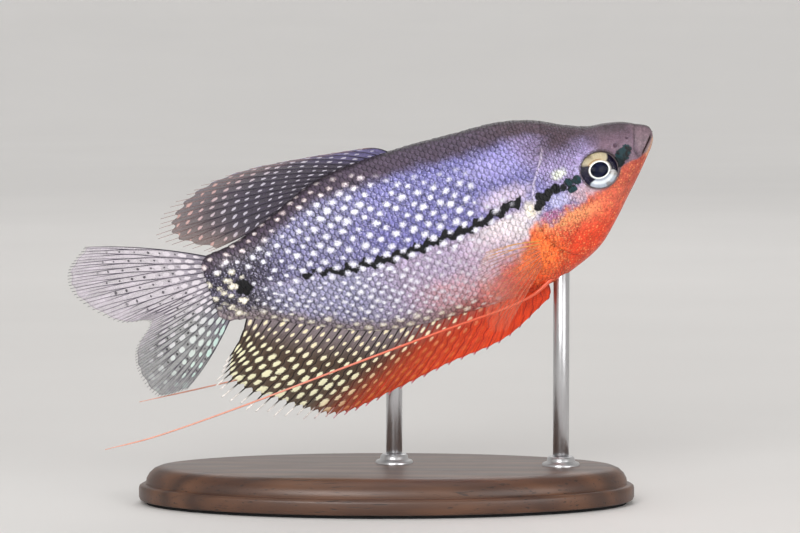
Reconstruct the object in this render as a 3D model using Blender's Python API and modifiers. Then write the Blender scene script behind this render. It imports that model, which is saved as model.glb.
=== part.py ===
"""Pearl gourami, a full-grown male at life size, as a still museum model on a display stand.

The fish is built in its own frame, in millimetres, with its nose at the origin, pointing along +X, and its back
up along +Z. One empty carries that frame: it pitches the nose up as the swimming fish holds it, over the stand.
"""

import math

import bmesh
import bpy
from mathutils import Matrix, Vector

MM = 0.001
MERGE = 1e-6  # metres within which a turned shape's seam is welded
GAP = 0.3  # left between neighbouring pieces

# Pose and stand, from which everything else is placed
NOSE_UP = math.radians(19.0)
NOSE_AT = (54.15, 0.0, 68.5)
BASE_LENGTH, BASE_WIDTH, BASE_HEIGHT = 92.0, 46.0, 7.0
BASE_AT_X = 5.0
BASE_SIDES = 56
# The base's moulding, from its foot up to its top: how far in from the edge, and height
BASE_MOULDING = ((1.4, 0.0), (1.4, 0.6), (0.7, 0.6), (0.0, 1.3), (0.0, 2.9), (0.5, 3.55), (1.3, 3.75),
                 (1.45, 4.7), (1.95, 5.6), (2.8, 6.4), (3.9, 6.85), (5.0, BASE_HEIGHT))
ROD_RADIUS, ROD_SIDES = 1.5, 20
# The collar that a rod stands in, from the base up: radius, and height over the gap
COLLAR = ((3.5, 0.0), (3.3, 0.2), (2.75, 0.35), (2.55, 1.0), (2.2, 1.4), (ROD_RADIUS, 1.4))
# Where a rod meets the body: behind the nose, to the left, and how far above the belly line it is drawn
ROD_FRONT, ROD_BACK = (23.4, 0.0, 3.0), (54.0, 3.7, 9.0)

# Stations of the body: distance behind the nose, back, belly, half width, height of the widest point
STATIONS = (
    (0.0, 0.55, 0.45, 0.0, 0.5),
    (0.25, 1.65, -0.95, 1.15, 0.3),
    (1.0, 2.30, -2.20, 1.80, -0.1),
    (2.4, 3.00, -3.75, 2.45, -0.7),
    (4.7, 4.15, -6.20, 3.45, -1.3),
    (8.0, 5.00, -9.45, 4.75, -2.1),
    (11.5, 5.55, -12.90, 5.70, -3.0),
    (15.5, 7.25, -16.30, 6.45, -4.0),
    (20.0, 9.60, -18.35, 7.05, -4.6),
    (26.5, 11.45, -20.10, 7.45, -4.7),
    (35.0, 12.15, -20.35, 7.55, -4.4),
    (45.0, 12.85, -20.00, 7.15, -3.8),
    (55.0, 12.85, -19.10, 6.30, -3.2),
    (62.5, 11.95, -17.10, 5.35, -2.6),
    (70.0, 9.25, -13.60, 4.15, -1.9),
    (77.0, 6.85, -10.20, 3.00, -1.3),
    (82.0, 5.85, -8.00, 2.25, -1.0),
    (85.0, 5.65, -7.35, 1.45, -0.9),
    (86.6, 5.05, -6.90, 0.45, -0.9),
)
BODY_END = STATIONS[-1][0]
RING = 40  # points round the body
NOSE_ROWS = [0.12, 0.4, 0.8, 1.3, 1.9, 2.6]  # rings close together where the snout curves most
HEAD_ROW_STEP, BODY_ROW_STEP = 1.06, 2.9
HEAD_ROWS_FROM, HEAD_ROWS_TO, BODY_ROWS_FROM, BODY_ROWS_TO = 3.4, 21.4, 22.9, 82.0
# Rings bend to follow the gill edge, and the ring at GILL_RING would lie on it. The bend fades in and out.
GILL_RING, GILL_BEND_FROM, GILL_BEND_FULL, GILL_BEND_TO = 22.0, 8.0, 17.0, 36.0
GILL_SEARCH = 12  # steps that find where a line along the body crosses the gill edge
TAIL_ROWS = [82.0, 83.6, 85.0, 86.0, BODY_END]
TAPER_UP = 1.08  # above 1 the back narrows towards a ridge
TAPER_CHEST, TAPER_KEEL = 0.98, 1.42  # the round chest and the keel over the anal fin
KEEL_FROM, KEEL_LENGTH = 18.0, 12.0  # where the chest turns into the keel
TAPER_BLEND = 0.5  # how far below the widest point the lower taper is reached

# The gill cover's free edge, which is also where the head ends, and the front of the tail stalk
GILL_EDGE = ((17.5, 16.0), (19.3, 8.5), (21.3, 3.0), (24.1, -1.1), (25.2, -4.6), (25.1, -8.4),
             (24.2, -12.0), (22.2, -15.0), (19.3, -17.4), (17.0, -24.0))
GILL_GAP = 1.2 * GAP  # measured along the body, which the edge crosses on a slant
GILL_FLARE, GILL_FLARE_LENGTH = 0.55, 6.0
GILL_LOW, GILL_LOW_FADE, GILL_TOP, GILL_TOP_FADE = -18.5, 4.0, 5.5, 3.0  # heights where the cover dies out
CHEEK_EDGE_BACK, CHEEK_GROOVE, CHEEK_GROOVE_WIDTH = 5.2, 0.22, 0.7  # the cheek plate's rear edge
RELIEF_FULL_AT = 3.0  # half width of body from which the relief has its full height
STALK_FROM = 76.0

EYE_AT = (11.55, -2.65)  # behind the nose, height
EYE_RADIUS, EYE_DEPTH = 3.65, 1.7
EYE_CENTRE_Y, EYE_FACES_FORWARD = 4.95, math.radians(13.0)
ORBIT_RIM, ORBIT_RIM_WIDTH = 0.34, 0.75

MOUTH_LINE = ((-1.2, 1.6), (0.0, 0.55), (1.0, -0.65), (2.45, -2.1), (3.3, -3.1))
MOUTH_GAP, MOUTH_CUT_REACH = 0.4, 6.0
LIP_STEPS, LIP_RADIUS, LIP_THINNING = 6, 0.52, 0.35  # each lip thins towards the corner of the mouth
LIP_OFF, LIP_SET_BACK, LIP_PARTING, LIP_SUNK = 0.55, 0.45, 0.28, 0.25  # how a lip lies beside the mouth line
LIP_CURL = 3.5  # the front of the lip turns in to the middle over this share of its length, inverted
NOSTRILS = ((4.9, 1.15, 0.22), (7.4, 0.55, 0.34))  # behind the nose, height, radius
NOSTRIL_DEPTH, NOSTRIL_FACES = 1.6, (0.25, 0.8, 0.55)  # the hole's length, and its way forward, out and up


def material(name, colour, roughness=0.5, metallic=0.0):
    made = bpy.data.materials.new(name)
    made.use_nodes = True
    shader = made.node_tree.nodes["Principled BSDF"]
    shader.inputs["Base Color"].default_value = (*colour, 1.0)
    shader.inputs["Roughness"].default_value = roughness
    shader.inputs["Metallic"].default_value = metallic
    return made


def curve_through(points, share, keys):
    """The Catmull-Rom value at share between keys, where points are tuples of numbers."""
    share = min(max(share, keys[0]), keys[-1])
    i = max(k for k in range(len(keys) - 1) if keys[k] <= share)
    before, after = max(i - 1, 0), min(i + 2, len(keys) - 1)
    span = keys[i + 1] - keys[i]
    t = (share - keys[i]) / span
    value = []
    for p0, p1, p2, p3 in zip(points[before], points[i], points[i + 1], points[after]):
        m1 = (p2 - p0) / (keys[i + 1] - keys[before]) * span
        m2 = (p3 - p1) / (keys[after] - keys[i]) * span
        value.append((2 * t**3 - 3 * t**2 + 1) * p1 + (t**3 - 2 * t**2 + t) * m1
                     + (3 * t**2 - 2 * t**3) * p2 + (t**3 - t**2) * m2)
    return value


def even_keys(points):
    return [i / (len(points) - 1) for i in range(len(points))]


def smooth(t):
    t = min(max(t, 0.0), 1.0)
    return t * t * (3 - 2 * t)


# The root of the distance is the key, so that the nose comes out round
STATION_KEYS = [math.sqrt(station[0]) for station in STATIONS]
STATION_VALUES = [station[1:] for station in STATIONS]


def section(s):
    """Back, belly, half width and height of the widest point, s behind the nose."""
    return curve_through(STATION_VALUES, math.sqrt(max(s, 0.0)), STATION_KEYS)


def gill_edge_at(h):
    """How far behind the nose the gill edge is at height h."""
    rows = sorted(GILL_EDGE, key=lambda point: point[1])
    heights = [row[1] for row in rows]
    return curve_through([(row[0],) for row in rows], h, heights)[0]


def relief(s, h):
    """How far the head stands out of the plain oval section: gill cover, cheek groove and orbit."""
    ahead = max(gill_edge_at(h) - s, 0.0)
    within = smooth((h - GILL_LOW) / GILL_LOW_FADE) * smooth((GILL_TOP - h) / GILL_TOP_FADE)
    swell = GILL_FLARE * within * smooth(1.0 - ahead / GILL_FLARE_LENGTH)
    swell -= CHEEK_GROOVE * within * math.exp(-(((ahead - CHEEK_EDGE_BACK) / CHEEK_GROOVE_WIDTH) ** 2))
    off = math.hypot(s - EYE_AT[0], h - EYE_AT[1]) - EYE_RADIUS
    return swell + ORBIT_RIM * math.exp(-((off / ORBIT_RIM_WIDTH) ** 2))


def body_point(s, turn, swell=0.0, of_head=False):
    """A point of the skin: turn is 0 on the back, half a turn on the belly, and the left side is between."""
    back, belly, width, middle = section(s)
    up, across = math.cos(turn), math.sin(turn)
    keel = TAPER_CHEST + (TAPER_KEEL - TAPER_CHEST) * smooth((s - KEEL_FROM) / KEEL_LENGTH)
    taper = TAPER_UP if up >= 0 else TAPER_UP + (keel - TAPER_UP) * smooth(-up / TAPER_BLEND)
    reach = (back - middle + swell) if up >= 0 else (middle - belly + swell)
    h = middle + reach * up
    side = (width + swell) * abs(across) ** taper
    if of_head:
        side += relief(s, h) * math.sqrt(abs(across)) * smooth(width / RELIEF_FULL_AT)
    return Vector((-s, math.copysign(side, across), h))


def gill_bend(turn):
    """How far behind the ring at GILL_RING the gill edge crosses this line along the body."""
    s = GILL_RING
    for _ in range(GILL_SEARCH):
        s = gill_edge_at(body_point(s, turn).z)
    return s - GILL_RING


def bent_station(s, bend):
    """Where a ring crosses a line along the body whose gill edge lies that far behind GILL_RING."""
    if s < GILL_RING:
        share = smooth((s - GILL_BEND_FROM) / (GILL_BEND_FULL - GILL_BEND_FROM))
    else:
        share = smooth((GILL_BEND_TO - s) / (GILL_BEND_TO - GILL_RING))
    return s + bend * share


def side_of_body(s, h):
    """Half width of the body at a place on its flank."""
    back, belly, _, middle = section(s)
    up = (h - middle) / (back - middle) if h >= middle else (h - middle) / (middle - belly)
    return body_point(s, math.acos(max(-1.0, min(1.0, up)))).y


def collection(name):
    made = bpy.data.collections.new(name)
    bpy.context.scene.collection.children.link(made)
    return made


def body_of_faces(name, points, faces, home, look=None):
    """A mesh object from points in millimetres, with its faces turned outwards."""
    mesh = bpy.data.meshes.new(name)
    mesh.from_pydata([point * MM for point in points], [], faces)
    if look:
        mesh.materials.append(look)
    obj = bpy.data.objects.new(name, mesh)
    home.objects.link(obj)
    shell = bmesh.new()
    shell.from_mesh(mesh)
    bmesh.ops.recalc_face_normals(shell, faces=shell.faces)
    shell.to_mesh(mesh)
    shell.free()
    return obj


def loft(name, stations, home, swell=0.0, look=None, of_head=False):
    """The body as rings from nose to tail, with a point at the nose and a flat end."""
    points = [Vector((swell, 0.0, section(0.0)[3]))]
    turns = [2 * math.pi * k / RING for k in range(RING)]
    bends = [gill_bend(turn) for turn in turns]
    for s in stations:
        points += [body_point(bent_station(s, bend), turn, swell, of_head) for turn, bend in zip(turns, bends)]
    last = 1 + (len(stations) - 1) * RING
    faces = [(0, 1 + (k + 1) % RING, 1 + k) for k in range(RING)]
    for row in range(len(stations) - 1):
        a, b = 1 + row * RING, 1 + (row + 1) * RING
        for k in range(RING):
            n = (k + 1) % RING
            faces += [(a + k, a + n, b + n), (a + k, b + n, b + k)]
    points.append(Vector((-stations[-1] - swell, 0.0, section(BODY_END)[3])))
    faces += [(len(points) - 1, last + k, last + (k + 1) % RING) for k in range(RING)]
    return body_of_faces(name, points, faces, home, look)


def move_to(obj, home):
    """Takes an object out of the collections it was made in and puts it in another."""
    for other in obj.users_collection:
        other.objects.unlink(obj)
    home.objects.link(obj)


def as_mesh(obj):
    """Turns a curve object, or one with modifiers, into a plain welded mesh object in its place."""
    bpy.context.view_layer.update()
    mesh = bpy.data.meshes.new_from_object(obj.evaluated_get(bpy.context.evaluated_depsgraph_get()))
    name, home, place = obj.name, obj.users_collection[0], obj.matrix_world.copy()
    bpy.data.objects.remove(obj)
    shell = bmesh.new()
    shell.from_mesh(mesh)
    bmesh.ops.remove_doubles(shell, verts=shell.verts, dist=1e-7)
    bmesh.ops.recalc_face_normals(shell, faces=shell.faces)
    shell.to_mesh(mesh)
    shell.free()
    made = bpy.data.objects.new(name, mesh)
    made.matrix_world = place
    home.objects.link(made)
    return made


def prism(name, outline, home, half_width=60.0):
    """An outline of the side view, (behind the nose, height), drawn out to both sides."""
    line = bpy.data.curves.new(name, "CURVE")
    line.dimensions, line.fill_mode, line.extrude = "2D", "BOTH", half_width * MM
    spline = line.splines.new("POLY")
    spline.points.add(len(outline) - 1)
    for knot, (s, h) in zip(spline.points, outline):
        knot.co = (-s * MM, h * MM, 0.0, 1.0)
    spline.use_cyclic_u = True
    drawn = bpy.data.objects.new(name, line)
    drawn.rotation_euler = (math.pi / 2, 0.0, 0.0)
    home.objects.link(drawn)
    return as_mesh(drawn)


def keep_largest(obj):
    """Drops every closed surface of the mesh but the one with the most faces."""
    shell = bmesh.new()
    shell.from_mesh(obj.data)
    left, islands = set(shell.verts), []
    while left:
        island, edge = set(), [left.pop()]
        while edge:
            vert = edge.pop()
            island.add(vert)
            for other in (e.other_vert(vert) for e in vert.link_edges):
                if other in left:
                    left.discard(other)
                    edge.append(other)
        islands.append(island)
    islands.sort(key=len)
    bmesh.ops.delete(shell, geom=[v for island in islands[:-1] for v in island], context="VERTS")
    shell.to_mesh(obj.data)
    shell.free()


def boolean(obj, operation, other=None, group=None):
    """Cuts or joins at once, and leaves a plain mesh."""
    step = obj.modifiers.new(operation.lower(), "BOOLEAN")
    step.operation = operation
    if group:
        step.operand_type, step.collection = "COLLECTION", group
    else:
        step.object = other
    looks = list(obj.data.materials)
    bpy.context.view_layer.update()
    mesh = bpy.data.meshes.new_from_object(obj.evaluated_get(bpy.context.evaluated_depsgraph_get()))
    obj.modifiers.clear()
    obj.data = mesh
    mesh.materials.clear()
    for look in looks:
        mesh.materials.append(look)
    for face in mesh.polygons:
        face.material_index = 0


def join(obj, pieces):
    """Unites closed meshes with obj, and removes them."""
    group = collection("joined")
    for piece in pieces:
        move_to(piece, group)
    boolean(obj, "UNION", group=group)
    for piece in pieces:
        bpy.data.objects.remove(piece)
    bpy.data.collections.remove(group)
    keep_largest(obj)


def tube(name, path, radii, home, resolution=1):
    """A round rod or thread along points in millimetres, with its own radius at each."""
    line = bpy.data.curves.new(name, "CURVE")
    line.dimensions = "3D"
    line.bevel_depth = MM
    line.bevel_resolution = resolution
    line.use_fill_caps = True
    spline = line.splines.new("POLY")
    spline.points.add(len(path) - 1)
    for knot, point, radius in zip(spline.points, path, radii):
        knot.co = (*(Vector(point) * MM), 1.0)
        knot.radius = radius
    obj = bpy.data.objects.new(name, line)
    home.objects.link(obj)
    return as_mesh(obj)


RAY_FOOT, RAY_FOOT_SHARE = 0.27, 0.3  # a ridge's half width, and the most it takes of the way to the next
FREE_TIP_THINNING = 0.72


def ray_fin(name, rays, edge_row, home, look, membrane, crest):
    """A fin as one closed skin. Each ray is a row of centre points from its root to its free tip.

    The rays stand up as ridges on both faces of the membrane. It ends at edge_row, and past it each ray goes on
    alone. membrane and crest are half thicknesses at the root and at the edge.
    """
    points, faces, spots = [], [], {}
    rows = len(rays[0])

    def put(key, point):
        spots[key] = len(points)
        points.append(point)

    for i, ray in enumerate(rays):
        for j in range(rows - 1):
            here = ray[j]
            left, right = rays[max(i - 1, 0)][j], rays[min(i + 1, len(rays) - 1)][j]
            along = (ray[j + 1] - ray[max(j - 1, 0)]).normalized()
            over = right - left
            across = (over - along * over.dot(along)).normalized()
            normal = across.cross(along)
            apart = min((near - here).length for near in (left, right) if near != here)
            t = min(j / edge_row, 1.0)
            thin = membrane[0] + (membrane[1] - membrane[0]) * t
            high = crest[0] + (crest[1] - crest[0]) * t
            wide = min(RAY_FOOT, RAY_FOOT_SHARE * apart)
            if j > edge_row:
                thin, high, wide = (FREE_TIP_THINNING * size for size in (thin, high, wide))
            for face, sign in (("front", 1), ("back", -1)):
                put((i, j, "crest", face), here + normal * (sign * high))
                put((i, j, "low", face), here - across * wide + normal * (sign * thin))
                put((i, j, "high", face), here + across * wide + normal * (sign * thin))
        put((i, "tip"), ray[-1])

    def strip(a, b, j, face):
        """Two triangles between two lines of points, split alike on both faces of the fin."""
        a0, a1 = spots[(a[0], j, a[1], face)], spots[(a[0], j + 1, a[1], face)]
        b0, b1 = spots[(b[0], j, b[1], face)], spots[(b[0], j + 1, b[1], face)]
        both = [(a0, b0, b1), (a0, b1, a1)]
        faces.extend(both if face == "front" else [tri[::-1] for tri in both])

    def wall(i, side, j, turned):
        a0, a1 = spots[(i, j, side, "front")], spots[(i, j + 1, side, "front")]
        b0, b1 = spots[(i, j, side, "back")], spots[(i, j + 1, side, "back")]
        both = [(a0, a1, b1), (a0, b1, b0)]
        faces.extend([tri[::-1] for tri in both] if turned else both)

    def bridge(i, j, turned):
        """The cut face of the membrane between two rays, at its root or at its free edge."""
        a, b = spots[(i, j, "high", "front")], spots[(i + 1, j, "low", "front")]
        c, d = spots[(i + 1, j, "low", "back")], spots[(i, j, "high", "back")]
        both = [(a, b, c), (a, c, d)]
        faces.extend([tri[::-1] for tri in both] if turned else both)

    around = (("low", "front"), ("crest", "front"), ("high", "front"),
              ("high", "back"), ("crest", "back"), ("low", "back"))
    for i in range(len(rays)):
        for face in ("front", "back"):
            for j in range(rows - 2):
                strip((i, "low"), (i, "crest"), j, face)
                strip((i, "crest"), (i, "high"), j, face)
            for j in range(edge_row):
                if i + 1 < len(rays):
                    strip((i, "high"), (i + 1, "low"), j, face)
        for j in range(rows - 2):
            if i == 0 or j >= edge_row:
                wall(i, "low", j, False)
            if i == len(rays) - 1 or j >= edge_row:
                wall(i, "high", j, True)
        root = [spots[(i, 0, *corner)] for corner in around]
        faces.extend((root[0], root[k + 1], root[k]) for k in range(1, 5))
        end = [spots[(i, rows - 2, *corner)] for corner in around]
        faces.extend((end[k], end[(k + 1) % 6], spots[(i, "tip")]) for k in range(6))
        if i + 1 < len(rays):
            bridge(i, 0, True)
            bridge(i, edge_row, False)
    return body_of_faces(name, points, faces, home, look)


FREE_TIP_BEND = 0.55  # share of the free tip where it has its one more ring of points


def bent_ray(root, tip, bow, edge_share, edge_row):
    """Centre points from root to tip: edge_row steps to the membrane's edge, then on to the free tip."""
    root, tip = Vector(root), Vector(tip)
    middle = (root + tip) / 2 + Vector(bow)
    shares = [edge_share * j / edge_row for j in range(edge_row + 1)]
    shares += [edge_share + (1 - edge_share) * FREE_TIP_BEND, 1.0]
    return [root * (1 - t) ** 2 + middle * (2 * t * (1 - t)) + tip * t**2 for t in shares]


# Each fin has its number of rays, where the first and last leave the body, the curve of their tips, how far a
# ray bows forwards, sideways and up, the share of a ray that the membrane covers, and the half thickness of
# membrane and ridge at the root and at the edge
ROOT_SUNK = 1.6  # a median fin's root starts this deep and is trimmed back to the skin
DORSAL_RAYS, DORSAL_FROM, DORSAL_TO, DORSAL_ROWS = 15, 46.7, 69.0, 5
DORSAL_TIPS = ((51.5, 14.9), (62.8, 16.9), (75.0, 18.4), (85.0, 17.7), (91.6, 14.6), (92.7, 11.0),
               (85.6, 7.0))
DORSAL_BOW, DORSAL_LEAN = (0.6, 0.0, 0.9), 0.5
DORSAL_WEB, DORSAL_WEB_REAR = 0.97, 0.90
DORSAL_THICK = ((0.34, 0.25), (0.52, 0.36))

# The anal fin's front is nearly whole at its edge, and only its rear third is fringed with long free ray tips
ANAL_RAYS, ANAL_FROM, ANAL_TO, ANAL_ROWS = 38, 27.4, 81.6, 3
ANAL_BOW = (1.0, 0.0, -0.8)
ANAL_WEB, ANAL_WEB_REAR, ANAL_WEB_VARIES = 0.95, 0.82, 0.02
ANAL_FRINGE_FROM, ANAL_FRINGE_FULL = 0.5, 0.75
ANAL_THICK = ((0.38, 0.25), (0.58, 0.38))
ANAL_TIPS = ((28.3, -22.7), (38.6, -27.3), (50.4, -28.4), (62.0, -30.0), (72.2, -30.9), (80.2, -28.2),
             (87.6, -24.2), (92.0, -18.6), (88.4, -14.2))

TAIL_RAYS, TAIL_ROOT, TAIL_FIN_ROWS = 18, 85.4, 5
TAIL_ROOT_TOP, TAIL_ROOT_LOW = 5.5, -7.2
TAIL_TIPS = ((106.3, 14.5), (110.9, 11.0), (110.8, 5.7), (105.2, -0.7), (99.6, -2.7), (103.6, -6.6),
             (104.6, -11.0), (102.6, -16.2), (97.0, -16.7))
TAIL_SPREAD, TAIL_WAVE, TAIL_WEB = 1.6, 0.9, 0.965
TAIL_THICK = ((0.36, 0.25), (0.5, 0.34))

# The root's two ends are given behind the nose and in height, and the tips also in distance from the middle
PECTORAL_RAYS, PECTORAL_AT, PECTORAL_ROWS = 10, ((25.9, -11.7), (27.2, -15.7)), 4
PECTORAL_TIPS = ((36.4, -9.7, 12.6), (39.2, -12.6, 13.6), (39.6, -17.4, 13.6), (40.5, -23.4, 12.4),
                 (37.6, -24.9, 11.2))
PECTORAL_SUNK_FORWARD, PECTORAL_SUNK = 1.2, 1.5
PECTORAL_BOW_OUT, PECTORAL_BOW_UP, PECTORAL_WEB = 0.9, (1.0, 0.2), 0.97
PECTORAL_THICK = ((0.36, 0.25), (0.5, 0.34))

FEELER_ROOT = (26.5, -19.6, 1.35)
FEELER_NEAR = ((33.0, -21.2, 2.4), (50.8, -21.5, 4.2), (67.6, -21.9, 5.0), (86.4, -22.5, 5.3),
               (104.0, -22.7, 5.0), (114.5, -22.0, 4.2))
FEELER_FAR = ((33.0, -21.4, 2.9), (45.0, -21.7, 5.3), (60.0, -21.2, 6.5), (76.0, -19.8, 6.7),
              (92.0, -18.2, 6.0), (106.5, -16.5, 5.0))
FEELER_STEPS, FEELER_TAPER_STEPS = 22, 8
FEELER_RADIUS, FEELER_THREAD, FEELER_TIP = 0.4, 0.26, 0.14


def dorsal_fin(home, look):
    rays = []
    for i in range(DORSAL_RAYS):
        t = i / (DORSAL_RAYS - 1)
        s = DORSAL_FROM + (DORSAL_TO - DORSAL_FROM) * t
        tip_s, tip_h = curve_through(DORSAL_TIPS, t, even_keys(DORSAL_TIPS))
        root = (-s, 0.0, section(s)[0] - ROOT_SUNK)
        web = DORSAL_WEB + (DORSAL_WEB_REAR - DORSAL_WEB) * smooth(2 * t - 0.5)
        rays.append(bent_ray(root, (-tip_s, DORSAL_LEAN * t, tip_h), DORSAL_BOW, web, DORSAL_ROWS))
    return ray_fin("fin_dorsal", rays, DORSAL_ROWS, home, look, *DORSAL_THICK)


def anal_fin(home, look):
    rays = []
    for i in range(ANAL_RAYS):
        t = i / (ANAL_RAYS - 1)
        s = ANAL_FROM + (ANAL_TO - ANAL_FROM) * t
        tip_s, tip_h = curve_through(ANAL_TIPS, t, even_keys(ANAL_TIPS))
        root = (-s, 0.0, section(s)[1] + ROOT_SUNK)
        fringe = smooth((t - ANAL_FRINGE_FROM) / (ANAL_FRINGE_FULL - ANAL_FRINGE_FROM))
        web = ANAL_WEB + (ANAL_WEB_REAR - ANAL_WEB + ANAL_WEB_VARIES * math.sin(2.1 * i)) * fringe
        rays.append(bent_ray(root, (-tip_s, 0.0, tip_h), ANAL_BOW, web, ANAL_ROWS))
    return ray_fin("fin_anal", rays, ANAL_ROWS, home, look, *ANAL_THICK)


def tail_fin(home, look):
    rays = []
    for i in range(TAIL_RAYS):
        t = i / (TAIL_RAYS - 1)
        root_h = TAIL_ROOT_TOP + (TAIL_ROOT_LOW - TAIL_ROOT_TOP) * t
        tip_s, tip_h = curve_through(TAIL_TIPS, t, even_keys(TAIL_TIPS))
        lean = TAIL_WAVE * math.sin(math.pi * (2 * t - 0.5))
        bow = (0.0, 0.0, TAIL_SPREAD * (1 - 2 * t))
        rays.append(bent_ray((-TAIL_ROOT, 0.0, root_h), (-tip_s, lean, tip_h), bow, TAIL_WEB, TAIL_FIN_ROWS))
    return ray_fin("fin_tail", rays, TAIL_FIN_ROWS, home, look, *TAIL_THICK)


def pectoral_fin(name, side, home, look):
    rays = []
    (top_s, top_h), (low_s, low_h) = PECTORAL_AT
    for i in range(PECTORAL_RAYS):
        t = i / (PECTORAL_RAYS - 1)
        s, h = top_s + (low_s - top_s) * t, top_h + (low_h - top_h) * t
        root = (PECTORAL_SUNK_FORWARD - s, side * (side_of_body(s, h) - PECTORAL_SUNK), h)
        tip_s, tip_h, tip_y = curve_through(PECTORAL_TIPS, t, even_keys(PECTORAL_TIPS))
        up = PECTORAL_BOW_UP[0] + (PECTORAL_BOW_UP[1] - PECTORAL_BOW_UP[0]) * t
        bow = (0.0, side * PECTORAL_BOW_OUT, up)
        rays.append(bent_ray(root, (-tip_s, side * tip_y, tip_h), bow, PECTORAL_WEB, PECTORAL_ROWS))
    return ray_fin(name, rays, PECTORAL_ROWS, home, look, *PECTORAL_THICK)


def feeler(name, side, route, home, look):
    """A pelvic fin: one long soft ray, as a thread that tapers to its tip."""
    knots = (FEELER_ROOT, *route)
    path = [curve_through(knots, i / FEELER_STEPS, even_keys(knots)) for i in range(FEELER_STEPS + 1)]
    path = [(-s, side * y, h) for s, h, y in path]
    radii = [FEELER_RADIUS + (FEELER_THREAD - FEELER_RADIUS) * smooth(i / FEELER_TAPER_STEPS)
             for i in range(FEELER_STEPS)] + [FEELER_TIP]
    made = tube(name, path, radii, home)
    made.data.materials.append(look)
    return made


def eye(name, side, home, look, swell=0.0):
    bpy.ops.mesh.primitive_uv_sphere_add(segments=20, ring_count=9, radius=1.0)
    ball = bpy.context.object
    ball.name = name
    size = ((EYE_RADIUS + swell) * MM, (EYE_DEPTH + swell) * MM, (EYE_RADIUS + swell) * MM)
    place = Matrix.Translation(Vector((-EYE_AT[0], side * EYE_CENTRE_Y, EYE_AT[1])) * MM)
    place @= Matrix.Rotation(-side * EYE_FACES_FORWARD, 4, "Z")
    ball.data.transform(place @ Matrix.Diagonal((*size, 1.0)) @ Matrix.Rotation(math.pi / 2, 4, "X"))
    move_to(ball, home)
    if look:
        ball.data.materials.append(look)
    return ball


def lips(home):
    """The upper and the lower lip, each a roll round the front of its jaw."""
    made = []
    line = MOUTH_LINE[1:]
    turns = range(-LIP_STEPS, LIP_STEPS + 1)
    for name, lift in (("upper_lip", 1), ("lower_lip", -1)):
        path = []
        for k in turns:
            share = abs(k) / LIP_STEPS
            s, h = curve_through(line, share, even_keys(line))
            s += LIP_SET_BACK * (1 - share) + LIP_PARTING * lift * share
            h += LIP_OFF * lift
            side = max(side_of_body(max(s, NOSE_ROWS[0]), h) - LIP_SUNK, 0.0) * smooth(share * LIP_CURL)
            path.append((-s, math.copysign(side, k), h))
        radii = [LIP_RADIUS * (1 - LIP_THINNING * (k / LIP_STEPS) ** 2) for k in turns]
        made.append(tube(name, path, radii, home))
    return made


def mouth_cut(home):
    """A thin slot right across the mouth. The upper jaw lies above and behind it, the lower jaw before it."""
    half = MOUTH_GAP / 2 * math.sqrt(0.5)
    upper = [(s + half, h + half) for s, h in MOUTH_LINE]
    lower = [(s - half, h - half) for s, h in reversed(MOUTH_LINE)]
    return prism("mouth_cut", upper + lower, home, MOUTH_CUT_REACH)


def nostril_cut(name, s, h, radius, side, home):
    bpy.ops.mesh.primitive_cylinder_add(vertices=10, radius=radius * MM, depth=NOSTRIL_DEPTH * MM)
    hole = bpy.context.object
    hole.name = name
    forward, out, up = NOSTRIL_FACES
    outward = Vector((forward, side * out, up)).normalized()
    at = Vector((-s, side * side_of_body(s, h), h)) * MM
    hole.data.transform(Matrix.Translation(at) @ outward.to_track_quat("Z", "Y").to_matrix().to_4x4())
    move_to(hole, home)
    return hole


def stations_between(first, last, step):
    count = max(1, round((last - first) / step))
    return [first + (last - first) * k / count for k in range(count)]


def stand_base(home, look):
    """A flat oval plate whose moulding runs round it at one width."""
    half_long, half_wide = BASE_LENGTH / 2, BASE_WIDTH / 2
    points, faces = [], []
    for inset, height in BASE_MOULDING:
        for k in range(BASE_SIDES):
            turn = 2 * math.pi * k / BASE_SIDES
            edge = Vector((half_long * math.cos(turn), half_wide * math.sin(turn), height))
            square = Vector((half_wide * math.cos(turn), half_long * math.sin(turn), 0.0)).normalized()
            points.append(edge - square * inset + Vector((BASE_AT_X, 0.0, 0.0)))
    for row in range(len(BASE_MOULDING) - 1):
        a, b = row * BASE_SIDES, (row + 1) * BASE_SIDES
        faces += [(a + k, a + (k + 1) % BASE_SIDES, b + (k + 1) % BASE_SIDES, b + k) for k in range(BASE_SIDES)]
    last = len(points) - BASE_SIDES
    faces += [tuple(reversed(range(BASE_SIDES))), tuple(range(last, len(points)))]
    return body_of_faces("stand_base", points, faces, home, look)


def rod_up_to(name, place, trim, home, look):
    """A turned rod on its collar, from just over the base straight up into the body, and trimmed back there."""
    s, y, into = place
    lean = Matrix.Rotation(-NOSE_UP, 3, "Y")
    top = Vector(NOSE_AT) + lean @ Vector((-s, y, section(s)[1] + into))
    foot = BASE_HEIGHT + GAP
    profile = [(0.0, top.z), (ROD_RADIUS, top.z)]
    profile += [(radius, foot + height) for radius, height in reversed(COLLAR)] + [(0.0, foot)]
    mesh = bpy.data.meshes.new(name)
    mesh.from_pydata([Vector((radius, 0.0, height)) * MM for radius, height in profile],
                     [(k, k + 1) for k in range(len(profile) - 1)], [])
    turned = bpy.data.objects.new(name, mesh)
    turned.location = Vector((top.x, y, 0.0)) * MM
    home.objects.link(turned)
    screw = turned.modifiers.new("turned", "SCREW")
    screw.steps = screw.render_steps = ROD_SIDES
    screw.use_merge_vertices, screw.merge_threshold = True, MERGE
    rod = as_mesh(turned)
    rod.data.materials.append(look)
    boolean(rod, "DIFFERENCE", trim)
    keep_largest(rod)


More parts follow.
